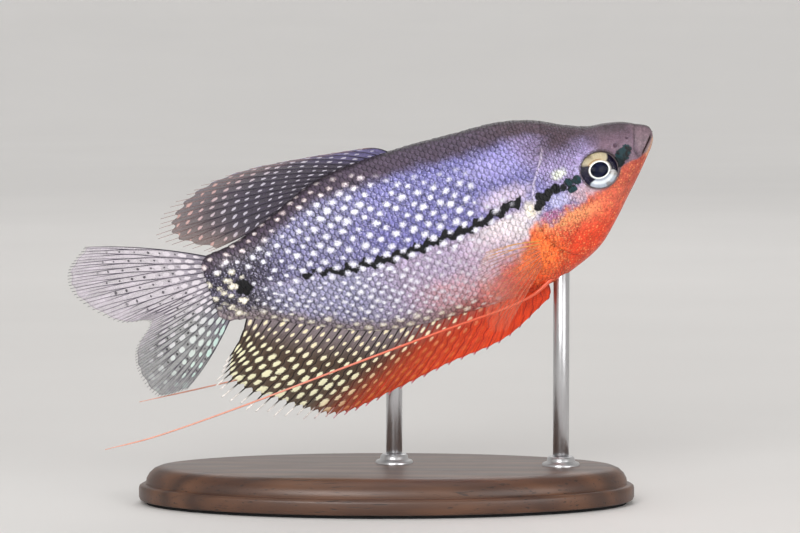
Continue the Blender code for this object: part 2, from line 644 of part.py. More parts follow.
def build():
    for obj in list(bpy.data.objects):
        bpy.data.objects.remove(obj, do_unlink=True)
    fish, cutters = collection("pearl_gourami"), collection("cutters")
    head_skin = material("head_skin", (0.72, 0.24, 0.12), 0.42)
    body_skin = material("body_skin", (0.38, 0.35, 0.52), 0.38, 0.25)
    dorsal_look = material("dorsal_fin", (0.26, 0.23, 0.26), 0.5)
    anal_look = material("anal_fin", (0.62, 0.20, 0.08), 0.5)
    tail_look = material("tail_fin", (0.60, 0.55, 0.56), 0.5)
    pectoral_look = material("pectoral_fin", (0.78, 0.58, 0.50), 0.45)
    feeler_look = material("feeler", (0.84, 0.36, 0.24), 0.5)
    eye_look = material("eye", (0.80, 0.80, 0.76), 0.12, 0.3)
    wood = material("stand_wood", (0.12, 0.065, 0.035), 0.45)
    steel = material("stand_steel", (0.62, 0.62, 0.63), 0.3, 1.0)

    # The gill edge is cut midway between two rings, so that no thin slivers arise
    rows = NOSE_ROWS + stations_between(HEAD_ROWS_FROM, HEAD_ROWS_TO, HEAD_ROW_STEP) + [HEAD_ROWS_TO]
    rows += stations_between(BODY_ROWS_FROM, BODY_ROWS_TO, BODY_ROW_STEP) + TAIL_ROWS
    trim = loft("skin_trim", rows, cutters, swell=GAP)

    # Side views of what belongs to each node; they reach well past the body above, below, before and behind
    top, low, ahead, beyond = GILL_EDGE[0][1], GILL_EDGE[-1][1], -10.0, BODY_END + 10.0
    head_side = [*GILL_EDGE, (ahead, low), (ahead, top)]
    torso_side = [(s + GILL_GAP, h) for s, h in GILL_EDGE] + [(STALK_FROM, low), (STALK_FROM, top)]
    stalk_side = [(STALK_FROM + GAP, top), (STALK_FROM + GAP, low), (beyond, low), (beyond, top)]

    head = loft("head", rows, fish, look=head_skin, of_head=True)
    boolean(head, "INTERSECT", prism("head_side", head_side, cutters))
    join(head, lips(cutters))
    for side in (-1, 1):
        boolean(head, "DIFFERENCE", eye(f"socket_{side}", side, cutters, None, GAP))
        for n, (s, h, radius) in enumerate(NOSTRILS):
            boolean(head, "DIFFERENCE", nostril_cut(f"nostril_{n}_{side}", s, h, radius, side, cutters))
    boolean(head, "DIFFERENCE", mouth_cut(cutters))
    keep_largest(head)

    torso = loft("torso", rows, fish, look=body_skin)
    boolean(torso, "INTERSECT", prism("torso_side", torso_side, cutters))
    keep_largest(torso)
    stalk = loft("tail_stalk", rows, fish, look=body_skin)
    boolean(stalk, "INTERSECT", prism("stalk_side", stalk_side, cutters))
    keep_largest(stalk)

    fins = [
        dorsal_fin(fish, dorsal_look),
        anal_fin(fish, anal_look),
        tail_fin(fish, tail_look),
        pectoral_fin("fin_pectoral_right", -1, fish, pectoral_look),
        pectoral_fin("fin_pectoral_left", 1, fish, pectoral_look),
        feeler("feeler_right", -1, FEELER_NEAR, fish, feeler_look),
        feeler("feeler_left", 1, FEELER_FAR, fish, feeler_look),
    ]
    for fin in fins:
        boolean(fin, "DIFFERENCE", trim)
        keep_largest(fin)
    eyes = [eye("eye_right", -1, fish, eye_look), eye("eye_left", 1, fish, eye_look)]

    pose = bpy.data.objects.new("fish_pose", None)
    fish.objects.link(pose)
    pose.rotation_euler = (0.0, -NOSE_UP, 0.0)
    pose.location = Vector(NOSE_AT) * MM
    for piece in (head, torso, stalk, *fins, *eyes, trim):
        piece.parent = pose

    stand_base(fish, wood)
    rod_up_to("stand_rod_front", ROD_FRONT, trim, fish, steel)
    rod_up_to("stand_rod_back", ROD_BACK, trim, fish, steel)

    for cutter in cutters.objects:
        cutter.hide_render = True
        cutter.display_type = "WIRE"
    for piece in fish.objects:
        if piece.type == "MESH":
            piece.data.shade_smooth()
            piece.data.set_sharp_from_angle(angle=math.radians(45))


build()
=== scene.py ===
"""Pearl gourami, a full-grown male at life size, as a still museum model on a display stand.

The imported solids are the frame. The sections follow the model as it is put together: studio, base, rods, body
skin, scales, eyes, fins and feelers. Lengths are in millimetres unless a name says otherwise.
"""

import math

import bpy
import numpy as np
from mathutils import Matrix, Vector


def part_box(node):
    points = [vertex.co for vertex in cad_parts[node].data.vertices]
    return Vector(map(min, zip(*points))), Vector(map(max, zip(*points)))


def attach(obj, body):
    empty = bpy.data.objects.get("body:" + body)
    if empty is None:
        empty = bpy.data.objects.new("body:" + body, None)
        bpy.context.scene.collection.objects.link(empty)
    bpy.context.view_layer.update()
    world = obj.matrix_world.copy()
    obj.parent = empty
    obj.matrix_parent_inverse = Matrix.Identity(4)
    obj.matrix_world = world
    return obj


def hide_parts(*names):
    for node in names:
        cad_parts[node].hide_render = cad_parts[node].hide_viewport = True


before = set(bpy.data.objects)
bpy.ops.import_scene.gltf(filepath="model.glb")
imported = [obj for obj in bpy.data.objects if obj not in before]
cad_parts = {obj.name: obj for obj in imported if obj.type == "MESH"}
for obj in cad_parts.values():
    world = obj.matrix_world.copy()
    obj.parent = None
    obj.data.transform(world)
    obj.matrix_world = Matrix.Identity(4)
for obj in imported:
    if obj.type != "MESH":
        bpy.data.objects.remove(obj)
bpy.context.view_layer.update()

# The studio. A round sweep of pale matt board stands well clear of the model on all sides, and large soft
# lamps over it give the even light of a museum's photograph. The board also glows a little of itself, more so
# further off, as painted light in place of the lamps' light that falls off with distance. The camera looks
# straight at the fish's right flank, from a little above, and a picture's width takes in 148 mm there.
MM = 0.001
VIEW_CENTRE = Vector((7.5, 0.0, 44.0)) * MM
VIEW_WIDTH, VIEW_LENS, VIEW_SENSOR = 148.0, 180.0, 36.0
VIEW_ELEVATION = math.radians(4.5)
SWEEP = ((0.0, 0.0), (1500.0, 0.0), (1900.0, 60.0), (2200.0, 300.0), (2300.0, 700.0), (2300.0, 2600.0))
SWEEP_ROWS, SWEEP_TURNS = 60, 96
LAMPS = (  # where each soft lamp stands, its edge and its power in watts
    ((-200.0, -780.0, 420.0), 420.0, 4.0),
    ((480.0, -560.0, 240.0), 420.0, 1.6),
    ((60.0, 620.0, 560.0), 520.0, 1.1),
    ((0.0, -60.0, 900.0), 600.0, 1.2),
)
# BOARD_GLOW is painted light: the board's own glow stands in for light from beyond the lamps
BOARD_GLOW = 0.2  # the board gives back the light of the hall beyond the lamps, more so further off


def tone(red, green, blue):
    """The linear colour of a paint given as it looks on screen, in parts of 255."""
    return tuple((c / 255 / 12.92) if c < 10.3 else ((c / 255 + 0.055) / 1.055) ** 2.4
                 for c in (red, green, blue)) + (1.0,)


def make_piece(name, points, faces, look, maps=None, paints=None):
    """A smooth mesh object. faces is a list of arrays of point numbers, one array for each count of corners.

    maps holds flat positions for each point or for each corner, and paints holds four values for each point.
    """
    points = np.asarray(points, float).reshape(-1, 3)
    faces = [np.asarray(some).reshape(len(some), -1) for some in faces]
    corners = np.concatenate([some.ravel() for some in faces])
    counts = np.concatenate([np.full(len(some), some.shape[1]) for some in faces])
    starts = np.concatenate([[0], np.cumsum(counts)[:-1]])
    first = points[corners[starts]]
    fan = [np.repeat(first[counts == some.shape[1]], some.shape[1] - 2, 0) for some in faces]
    near = [points[some[:, 1:-1]].reshape(-1, 3) for some in faces]
    far = [points[some[:, 2:]].reshape(-1, 3) for some in faces]
    volume = np.einsum("ij,ij->", np.concatenate(fan), np.cross(np.concatenate(near), np.concatenate(far)))
    order = np.arange(len(corners))
    if volume < 0:  # inside out, so each face is listed the other way round
        order = (starts + counts - 1).repeat(counts) - (order - starts.repeat(counts))
    mesh = bpy.data.meshes.new(name)
    mesh.vertices.add(len(points))
    mesh.vertices.foreach_set("co", (points * MM).ravel())
    mesh.loops.add(len(corners))
    mesh.loops.foreach_set("vertex_index", corners[order])
    mesh.polygons.add(len(starts))
    mesh.polygons.foreach_set("loop_start", starts)
    mesh.polygons.foreach_set("use_smooth", np.ones(len(starts), bool))
    mesh.update(calc_edges=True)
    for title, flat in (maps or {}).items():
        flat = np.asarray(flat, float).reshape(-1, 2)
        flat = flat[corners] if len(flat) == len(points) else flat
        mesh.uv_layers.new(name=title).data.foreach_set("uv", flat[order].astype(np.float32).ravel())
    for title, values in (paints or {}).items():
        values = np.asarray(values, np.float32).reshape(-1, 4)
        mesh.attributes.new(title, "FLOAT_COLOR", "POINT").data.foreach_set("color", values.ravel())
    mesh.materials.append(look)
    made = bpy.data.objects.new(name, mesh)
    bpy.context.scene.collection.objects.link(made)
    return made


def circle(count):
    """Even angles round a full turn."""
    return np.arange(count) * 2 * math.pi / count


def net(rows, columns, closed=True):
    """Quads over a grid of points stored row by row. A closed one joins its last column to its first."""
    row = np.arange(rows - 1)[:, None] * columns
    here = np.arange(columns if closed else columns - 1)[None]
    after = (here + 1) % columns
    return np.stack([row + here, row + after, row + columns + after, row + columns + here], -1).reshape(-1, 4)


def node(tree, kind, inputs=None, **settings):
    """A shader node with its settings, and its inputs given as values or as sockets to link."""
    made = tree.nodes.new("ShaderNode" + kind)
    for key, value in settings.items():
        setattr(made, key, value)
    for key, value in (inputs or {}).items():
        if isinstance(value, bpy.types.NodeSocket):
            tree.links.new(value, made.inputs[key])
        else:
            made.inputs[key].default_value = value
    return made


def reckon(operation, *values):
    """The result of a Math node, in the tree that its sockets belong to."""
    tree = next(value.id_data for value in values if isinstance(value, bpy.types.NodeSocket))
    return node(tree, "Math", dict(enumerate(values)), operation=operation).outputs[0]


def plus(one, other):
    return reckon("ADD", one, other)


def minus(one, other):
    return reckon("SUBTRACT", one, other)


def times(one, other):
    return reckon("MULTIPLY", one, other)


def span(value, low, high):
    """From 0 where value is low to 1 where it is high, with soft ends."""
    found = node(value.id_data, "MapRange", {0: value, 1: low, 2: high}, interpolation_type="SMOOTHSTEP")
    return found.outputs[0]


def blend(share, one, other):
    """One colour going over to another."""
    return node(share.id_data, "Mix", {0: share, 6: one, 7: other}, data_type="RGBA").outputs[2]


def finish(name, **sockets):
    """A material, its node tree and its Principled shader with what is the same all over set on it."""
    made = bpy.data.materials.new(name)
    made.use_nodes = True
    shader = made.node_tree.nodes["Principled BSDF"]
    for key, value in sockets.items():
        shader.inputs[key.replace("_", " ")].default_value = value
    return made, made.node_tree, shader


def feed(end, socket):
    """Links what a socket gives to the input that takes it."""
    socket.id_data.links.new(socket, end)


def raise_by(tree, shader, height, distance, strength=1.0):
    """Turns a height into the surface's bump, distance being in millimetres."""
    bump = node(tree, "Bump", {"Height": height, "Distance": distance * MM, "Strength": strength})
    feed(shader.inputs["Normal"], bump.outputs[0])


def place(tree):
    """The surface's own place in the model, which patterns are drawn in."""
    return node(tree, "TexCoord").outputs["Object"]


def grain(tree, at, size, detail=2.0, roughness=0.5):
    """Soft noise from 0 to 1 with lumps of that size in millimetres."""
    made = node(tree, "TexNoise", {"Scale": 1.0 / (size * MM), "Detail": detail, "Roughness": roughness})
    feed(made.inputs["Vector"], at)
    return made.outputs["Fac"]


board, tree, shader = finish("studio_board", Roughness=0.9)
shade = blend(grain(tree, place(tree), 90.0), tone(222, 220, 218), tone(230, 228, 226))
feed(shader.inputs["Base Color"], shade)
# Painted light: the board glows, more so further from the model, where the lamps' light falls off
far_off = node(tree, "VectorMath", {0: place(tree)}, operation="LENGTH").outputs[1]
far_off = span(far_off, 200.0 * MM, 1300.0 * MM)
glow = blend(far_off, (0.0, 0.0, 0.0, 1.0), (BOARD_GLOW, BOARD_GLOW, BOARD_GLOW, 1.0))
feed(shader.inputs["Emission Color"], glow)
shader.inputs["Emission Strength"].default_value = 1.0
raise_by(tree, shader, grain(tree, place(tree), 1.2), 0.05, 0.3)
turns = circle(SWEEP_TURNS)
row_at = np.linspace(0, len(SWEEP) - 1, SWEEP_ROWS)
reach, rise = (np.interp(row_at, range(len(SWEEP)), side) for side in zip(*SWEEP))
ring = np.stack([np.cos(turns), np.sin(turns), 0 * turns], -1)
points = reach[:, None, None] * ring + rise[:, None, None] * np.array([0, 0, 1.0])
sweep = make_piece("studio_sweep", points, [net(SWEEP_ROWS, SWEEP_TURNS)], board)
sweep.visible_shadow = False

camera = bpy.data.objects.new("camera", bpy.data.cameras.new("camera"))
camera.data.lens, camera.data.sensor_width = VIEW_LENS, VIEW_SENSOR
camera.data.clip_start, camera.data.clip_end = 0.02, 20.0
away = Vector((0.0, -math.cos(VIEW_ELEVATION), math.sin(VIEW_ELEVATION)))
camera.location = VIEW_CENTRE + away * (VIEW_LENS / VIEW_SENSOR * VIEW_WIDTH * MM)
camera.rotation_euler = (-away).to_track_quat("-Z", "Y").to_euler()
bpy.context.scene.collection.objects.link(camera)
bpy.context.scene.camera = camera

for number, (spot, edge, watts) in enumerate(LAMPS):
    lamp = bpy.data.objects.new(f"lamp_{number}", bpy.data.lights.new(f"lamp_{number}", "AREA"))
    lamp.data.shape, lamp.data.size, lamp.data.energy = "SQUARE", edge * MM, watts
    lamp.location = Vector(spot) * MM
    lamp.rotation_euler = (VIEW_CENTRE - lamp.location).to_track_quat("-Z", "Y").to_euler()
    bpy.context.scene.collection.objects.link(lamp)
world = bpy.data.worlds.new("studio_air")
bpy.context.scene.world = world
world.use_nodes = True
world.node_tree.nodes["Background"].inputs["Color"].default_value = (1.0, 0.99, 0.97, 1.0)
world.node_tree.nodes["Background"].inputs["Strength"].default_value = 0.27
bpy.context.scene.view_settings.view_transform = "Standard"

# The base. A flat oval plate of dark walnut, turned with a small step and a rounded shoulder, oiled and
# waxed. A thin black baize is glued under it, and the plate stands on that.
BASE_LENGTH, BASE_WIDTH, BASE_HEIGHT = 92.0, 46.0, 7.0
BASE_AT_X = 5.0
BASE_TURNS = 160
BAIZE_HIGH, BAIZE_IN = 0.6, 1.4
# The moulding from the underside up: how far in from the plate's edge, and height
MOULDING = ((2.2, 0.6), (0.7, 0.6), (0.2, 0.8), (0.0, 1.3), (0.0, 2.9), (0.12, 3.3),
            (0.5, 3.55), (1.15, 3.6), (1.3, 3.75), (1.3, 4.0), (1.45, 4.7), (1.95, 5.6),
            (2.8, 6.4), (3.9, 6.85), (5.0, 7.0), (6.5, 7.0))


def oval_rings(profile):
    """Rings of an oval plate, each drawn in from the edge square to it."""
    turns = circle(BASE_TURNS)
    half_long, half_wide = BASE_LENGTH / 2, BASE_WIDTH / 2
    edge = np.stack([half_long * np.cos(turns), half_wide * np.sin(turns)], -1)
    square = np.stack([half_wide * np.cos(turns), half_long * np.sin(turns)], -1)
    square /= np.linalg.norm(square, axis=1, keepdims=True)
    rings = [np.column_stack([edge - square * inset, np.full(BASE_TURNS, high)]) for inset, high in profile]
    return np.array(rings) + np.array([BASE_AT_X, 0.0, 0.0])


def cap(rings, sides):
    """The faces round some rings, with the first and the last ring closed."""
    first = np.arange(sides)[None, ::-1]
    return [net(rings, sides), np.concatenate([first, (rings - 1) * sides + np.arange(sides)[None]])]


walnut, tree, shader = finish("oiled_walnut", Coat_Weight=0.25, Coat_Roughness=0.25)
at = node(tree, "Mapping", {"Vector": place(tree), "Scale": (0.16, 1.0, 1.0)}).outputs[0]
wave = {"Vector": at, "Scale": 55.0, "Distortion": 9.0, "Detail": 3.0, "Detail Scale": 1.4}
wave = node(tree, "TexWave", wave, wave_type="BANDS", bands_direction="Y")
rings_of_wood = wave.outputs["Fac"]
figure = grain(tree, at, 3.5, 4.0)
streak = node(tree, "Mapping", {"Vector": place(tree), "Scale": (0.05, 1.0, 1.0)}).outputs[0]
pores = span(grain(tree, streak, 0.35, 1.0), 0.62, 0.74)
colour = blend(rings_of_wood, tone(62, 38, 26), tone(98, 64, 43))
colour = blend(span(figure, 0.35, 0.75), colour, tone(74, 46, 32))
colour = blend(times(pores, 0.7), colour, tone(28, 17, 12))
feed(shader.inputs["Base Color"], colour)
feed(shader.inputs["Roughness"], plus(0.36, times(figure, 0.16)))
raise_by(tree, shader, minus(times(rings_of_wood, 0.25), pores), 0.04, 0.6)
rings = oval_rings(MOULDING)
plate = make_piece("base_plate", rings, cap(len(rings), BASE_TURNS), walnut)
plate.data.set_sharp_from_angle(angle=math.radians(40))
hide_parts("stand_base")
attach(plate, "root")

baize, tree, shader = finish("black_baize", Roughness=0.95)
fuzz = grain(tree, place(tree), 0.15, 3.0)
feed(shader.inputs["Base Color"], blend(fuzz, tone(16, 17, 18), tone(36, 38, 40)))
raise_by(tree, shader, fuzz, 0.1)
rings = oval_rings(((BAIZE_IN, 0.0), (BAIZE_IN, BAIZE_HIGH)))
pad = make_piece("base_baize", rings, cap(len(rings), BASE_TURNS), baize)
pad.data.set_sharp_from_angle(angle=math.radians(40))
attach(pad, "root")

# The rods. Two lengths of drawn steel, brushed along and let into the fish's belly. Each stands in a turned
# collar of the same steel that is pressed into the base.
ROD_RADIUS = 1.5
ROD_INTO_BODY, ROD_INTO_BASE = 1.0, 2.0
ROD_SIDES = 48
COLLAR = ((1.52, 8.6), (1.75, 8.75), (2.2, 8.7), (2.5, 8.4), (2.6, 7.9),
          (2.75, 7.65), (3.3, 7.5), (3.5, 7.25), (3.5, 6.9))


def turned(name, profile, centre, look):
    """A closed turned piece from radius and height, with its axis upright."""
    turns = circle(ROD_SIDES)
    rings = [np.column_stack([r * np.cos(turns), r * np.sin(turns), 0 * turns + z]) for r, z in profile]
    points = np.array(rings) + np.array([centre[0], centre[1], 0.0])
    first = np.arange(ROD_SIDES)
    ends = np.stack([first, (len(rings) - 1) * ROD_SIDES + first[::-1]])
    made = make_piece(name, points, [net(len(rings), ROD_SIDES), ends], look)
    made.data.set_sharp_from_angle(angle=math.radians(50))
    return made


steel, tree, shader = finish("brushed_steel", Metallic=1.0)
lines = node(tree, "Mapping", {"Vector": place(tree), "Scale": (1.0, 1.0, 0.02)}).outputs[0]
brush = grain(tree, lines, 0.06, 2.0)
smudge = grain(tree, place(tree), 4.0)
feed(shader.inputs["Base Color"], blend(brush, tone(176, 176, 178), tone(206, 206, 208)))
gloss = plus(0.2, times(plus(brush, smudge), 0.1))
feed(shader.inputs["Roughness"], gloss)
raise_by(tree, shader, brush, 0.008, 0.5)
for end in ("front", "back"):
    low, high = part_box(f"stand_rod_{end}")
    centre = (low + high) / 2 / MM
    top = high.z / MM + ROD_INTO_BODY
    foot = BASE_HEIGHT - ROD_INTO_BASE
    rod_profile = ((ROD_RADIUS - 0.1, foot), (ROD_RADIUS, foot + 0.1), (ROD_RADIUS, top - 0.2),
                   (ROD_RADIUS - 0.2, top))
    rod = turned(f"rod_{end}", rod_profile, centre, steel)
    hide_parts(f"stand_rod_{end}")
    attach(rod, "root")
    collar = turned(f"rod_collar_{end}", COLLAR, centre, steel)
    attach(collar, "root")

# The body skin. One skin covers head, trunk and tail stalk: a thin, wet, slimy skin over flesh, cast with the
# mouth, lips, nostrils, jaw plates, cheek and gill cover in it, and painted by hand. It lies just under the
# scales' tops, and on snout, lips and throat it is bare.
NOSE_UP = math.radians(19.0)
NOSE_AT = np.array([54.15, 0.0, 68.5])
# Distance behind the nose, back, belly, half width, height of the widest point
STATIONS = np.array((
    (0.0, 0.55, 0.45, 0.0, 0.5), (0.25, 1.65, -0.95, 1.15, 0.3), (1.0, 2.30, -2.20, 1.80, -0.1),
    (2.4, 3.00, -3.75, 2.45, -0.7), (4.7, 4.15, -6.20, 3.45, -1.3), (8.0, 5.00, -9.45, 4.75, -2.1),
    (11.5, 5.55, -12.90, 5.70, -3.0), (15.5, 7.25, -16.30, 6.45, -4.0), (20.0, 9.60, -18.35, 7.05, -4.6),
    (26.5, 11.45, -20.10, 7.45, -4.7), (35.0, 12.15, -20.35, 7.55, -4.4), (45.0, 12.85, -20.00, 7.15, -3.8),
    (55.0, 12.85, -19.10, 6.30, -3.2), (62.5, 11.95, -17.10, 5.35, -2.6), (70.0, 9.25, -13.60, 4.15, -1.9),
    (77.0, 6.85, -10.20, 3.00, -1.3), (82.0, 5.85, -8.00, 2.25, -1.0), (85.0, 5.65, -7.35, 1.45, -0.9),
    (86.6, 5.05, -6.90, 0.45, -0.9)))
BODY_END = 86.6
TAPER_UP, TAPER_CHEST, TAPER_KEEL, TAPER_BLEND = 1.08, 0.98, 1.42, 0.5
KEEL_FROM, KEEL_LENGTH = 18.0, 12.0
GILL_EDGE = np.array(((17.0, -24.0), (19.3, -17.4), (22.2, -15.0), (24.2, -12.0), (25.1, -8.4), (25.2, -4.6),
                      (24.1, -1.1), (21.3, 3.0), (19.3, 8.5), (17.5, 16.0)))
GILL_FLARE, GILL_FLARE_LENGTH = 0.55, 6.0
GILL_LOW, GILL_LOW_FADE, GILL_TOP, GILL_TOP_FADE = -18.5, 4.0, 5.5, 3.0
GILL_RING, GILL_BEND_FROM, GILL_BEND_FULL, GILL_BEND_TO = 22.0, 8.0, 17.0, 36.0
CHEEK_EDGE_BACK, CHEEK_GROOVE, CHEEK_GROOVE_WIDTH = 5.2, 0.26, 0.45
RELIEF_FULL_AT = 3.0
SKIN_UNDER = 0.12
AROUND = 240  # points round the body
EYE_AT = (11.55, -2.65)
EYE_LONG, EYE_HIGH = 3.68, 3.42  # half sizes of the eye's opening, along the fish and upright
ORBIT_RIM, ORBIT_RIM_WIDTH, SOCKET_DEEP = 0.3, 0.6, 1.9
MOUTH_LINE = ((-0.4, 0.95), (0.0, 0.55), (1.0, -0.65), (2.45, -2.1), (3.3, -3.1))
LIP_HIGH, LIP_OFF, LIP_WIDTH, MOUTH_DEEP, MOUTH_WIDTH = 0.3, 0.52, 0.3, 1.1, 0.13
# Folds in the head's skin: points behind the nose and in height, depth, width
FOLDS = (
    (((1.3, 2.5), (1.55, 1.6), (1.75, 0.2), (2.3, -1.0), (3.1, -2.2)), 0.12, 0.13),
    (((2.4, 3.2), (3.1, 1.9), (3.55, 0.4), (4.2, -1.3), (4.0, -2.7), (3.6, -3.5)), 0.2, 0.2),
    (((3.5, -3.4), (5.2, -5.4), (8.0, -7.9), (11.0, -10.6), (13.6, -13.0)), 0.1, 0.28),
    (((4.6, -1.6), (6.3, -3.3), (7.4, -4.6)), 0.07, 0.25),
)
NOSTRILS = ((4.9, 1.15, 0.2), (7.4, 0.55, 0.32))  # behind the nose, height, radius


def ease(value, low=0.0, high=1.0):
    """From 0 at low to 1 at high, with soft ends."""
    t = np.clip((np.asarray(value, float) - low) / (high - low), 0.0, 1.0)
    return t * t * (3 - 2 * t)


def through(points, keys, share):
    """The smooth curve through points, which lie at keys, for any array of shares."""
    points, keys = np.asarray(points, float), np.asarray(keys, float)
    share = np.clip(np.asarray(share, float), keys[0], keys[-1])
    i = np.clip(np.searchsorted(keys, share, side="right") - 1, 0, len(keys) - 2)
    before, after = np.maximum(i - 1, 0), np.minimum(i + 2, len(keys) - 1)
    width = keys[i + 1] - keys[i]
    t = ((share - keys[i]) / width)[..., None]
    leave = (points[i + 1] - points[before]) * (width / (keys[i + 1] - keys[before]))[..., None]
    arrive = (points[after] - points[i]) * (width / (keys[after] - keys[i]))[..., None]
    return ((2 * t**3 - 3 * t**2 + 1) * points[i] + (t**3 - 2 * t**2 + t) * leave
            + (3 * t**2 - 2 * t**3) * points[i + 1] + (t**3 - t**2) * arrive)


def even(points):
    return np.linspace(0.0, 1.0, len(points))


def section(s):
    """Back, belly, half width and height of the widest point, s behind the nose."""
    found = through(STATIONS[:, 1:], np.sqrt(STATIONS[:, 0]), np.sqrt(np.maximum(s, 0.0)))
    return found[..., 0], found[..., 1], found[..., 2], found[..., 3]


def gill_edge_at(h):
    return through(GILL_EDGE[:, :1], GILL_EDGE[:, 1], h)[..., 0]


def cover_share(h):
    """How fully the gill cover stands off the body, from 0 above and below it to 1."""
    return ease(h, GILL_LOW, GILL_LOW + GILL_LOW_FADE) * ease(h, GILL_TOP, GILL_TOP - GILL_TOP_FADE)


def eye_distance(s, h):
    """0 in the middle of the eye and 1 on its rim."""
    return np.hypot((s - EYE_AT[0]) / EYE_LONG, (h - EYE_AT[1]) / EYE_HIGH)


def relief(s, h):
    """How far the head stands out of the plain oval section: gill cover, cheek groove and orbit."""
    ahead = np.maximum(gill_edge_at(h) - s, 0.0)
    swell = GILL_FLARE * ease(1.0 - ahead / GILL_FLARE_LENGTH)
    swell = swell - CHEEK_GROOVE * np.exp(-(((ahead - CHEEK_EDGE_BACK) / CHEEK_GROOVE_WIDTH) ** 2))
    rim = (eye_distance(s, h) - 1.0) * EYE_LONG
    return swell * cover_share(h) + ORBIT_RIM * np.exp(-((rim / ORBIT_RIM_WIDTH) ** 2))


def body_at(s, turn, swell=0.0, of_head=False):
    """Points of the body: turn is 0 on the back and half a turn on the belly, with the left side between."""
    back, belly, width, middle = section(s)
    up, across = np.cos(turn), np.sin(turn)
    keel = TAPER_CHEST + (TAPER_KEEL - TAPER_CHEST) * ease(s, KEEL_FROM, KEEL_FROM + KEEL_LENGTH)
    taper = np.where(up >= 0, TAPER_UP, TAPER_UP + (keel - TAPER_UP) * ease(-up / TAPER_BLEND))
    reach = np.where(up >= 0, back - middle, middle - belly) + swell
    h = middle + reach * up
    side = (width + swell) * np.abs(across) ** taper
    raised = relief(s, h) * np.sqrt(np.abs(across)) * ease(width / RELIEF_FULL_AT)
    side = side + np.where(of_head, raised, 0.0)
    return np.stack(np.broadcast_arrays(-s, np.sign(across) * side, h), -1)


def posed(points):
    """Points of the fish's own frame, nose first and level, set in the model's nose-up pose."""
    x, y, z = points[..., 0], points[..., 1], points[..., 2]
    turned_x = x * math.cos(NOSE_UP) - z * math.sin(NOSE_UP)
    turned_z = x * math.sin(NOSE_UP) + z * math.cos(NOSE_UP)
    return np.stack([turned_x, y, turned_z], -1) + NOSE_AT


def off_line(s, h, line):
    """Distance from a line of points, signed by its side, and how far along it the nearest point lies."""
    line = np.asarray(line, float)
    best, side, share = np.full(np.shape(s), 1e9), np.zeros(np.shape(s)), np.zeros(np.shape(s))
    for number, (start, stop) in enumerate(zip(line[:-1], line[1:])):
        way = stop - start
        along = np.clip(((s - start[0]) * way[0] + (h - start[1]) * way[1]) / (way @ way), 0.0, 1.0)
        off_s, off_h = s - start[0] - along * way[0], h - start[1] - along * way[1]
        far = np.hypot(off_s, off_h)
        nearer = far < best
        best = np.where(nearer, far, best)
        side = np.where(nearer, np.sign(way[0] * off_h - way[1] * off_s), side)
        share = np.where(nearer, (number + along) / (len(line) - 1), share)
    return best * side, share


def fold_depth(s, h):
    """How deep the folds of the head lie at a place, as a share of the deepest."""
    deep = np.zeros(np.shape(s))
    for line, depth, width in FOLDS:
        off, share = off_line(s, h, line)
        ends = ease(share, 0.0, 0.12) * ease(share, 1.0, 0.85)
        deep = np.maximum(deep, depth * np.exp(-((off / width) ** 2)) * ends)
    return deep


def head_detail(s, h):
    """How far lips, folds, nostrils and the eye's socket move the skin outwards."""
    off, share = off_line(s, h, MOUTH_LINE)
    ends = ease(share, 1.0, 0.8)
    rolls = np.exp(-(((np.abs(off) - LIP_OFF) / LIP_WIDTH) ** 2)) * (1.0 - 0.4 * share)
    out = LIP_HIGH * rolls * ends - MOUTH_DEEP * np.exp(-((off / MOUTH_WIDTH) ** 2)) * ends
    out = out - fold_depth(s, h)
    for at_s, at_h, radius in NOSTRILS:
        far = np.hypot(s - at_s, h - at_h) / radius
        out = out + 0.12 * np.exp(-(((far - 1.5) / 0.45) ** 2)) - 0.7 * ease(far, 1.15, 0.75)
    return out - SOCKET_DEEP * ease(eye_distance(s, h), 0.99, 0.9)


def ring_stations():
    """The skin's rings: where each would lie on a plain body, and whether it is on the head."""
    snout = 3.0 * (np.arange(1, 19) / 18) ** 2
    head = np.arange(3.17, 21.85, 0.17)
    front = np.arange(22.1, 36.0, 0.3)
    trunk = np.arange(36.0, 82.0, 0.45)
    stalk = np.arange(82.0, BODY_END + 0.01, 0.3)
    # At the gill cover's edge the skin rounds over, tucks forward under the cover and comes back on the body.
    # Each row is a ring, how far it is drawn forward and in where the cover stands off, and 1 on the head.
    edge = ((21.93, 0.0, 0.0, 1), (21.97, -0.1, 0.06, 1), (22.0, -0.12, 0.24, 1), (22.02, -0.02, 0.42, 1),
            (22.04, 0.45, 0.62, 1), (22.06, 0.35, 0.05, 0))
    rows = [(s, 0.0, 0.0, 1) for s in (*snout, *head)] + list(edge)
    return np.array(rows + [(s, 0.0, 0.0, 0) for s in (*front, *trunk, *stalk)])


turn = circle(AROUND)
# The rings bend with the gill cover's edge. The bend is found in rounds, as it changes the height it goes by
bend = np.full(AROUND, GILL_RING)
for _ in range(12):
    bend = gill_edge_at(body_at(bend, turn)[..., 2])
bend = bend - GILL_RING
rows = ring_stations()
ring_s, forward, inward, of_head = (rows[:, k][:, None] for k in range(4))
share = np.where(ring_s < GILL_RING, ease(ring_s, GILL_BEND_FROM, GILL_BEND_FULL),
                 ease(ring_s, GILL_BEND_TO, GILL_RING))
skin_s = ring_s + bend[None] * share
stands_off = cover_share(body_at(skin_s, turn[None])[..., 2])
skin_s = np.clip(skin_s - forward * stands_off, 0.0, BODY_END)
under = -SKIN_UNDER - inward * stands_off
skin_points = body_at(skin_s, turn[None], under, of_head > 0.5)
skin_h = skin_points[..., 2]
along = np.gradient(skin_points, axis=0)
about = (np.roll(skin_points, -1, 1) - np.roll(skin_points, 1, 1)) / 2
outward = np.cross(along, about)
outward /= np.maximum(np.linalg.norm(outward, axis=-1, keepdims=True), 1e-9)
from_core = np.stack([0 * skin_s, skin_points[..., 1], skin_h + 3.0], -1)
outward *= np.sign(np.sum(outward * from_core, -1))[..., None]
on_head = (of_head > 0.5) & (inward < 0.01)
moved = np.where(on_head, head_detail(skin_s, skin_h) * ease(skin_s, 0.25, 1.0), 0.0)
skin_points = skin_points + outward * moved[..., None]


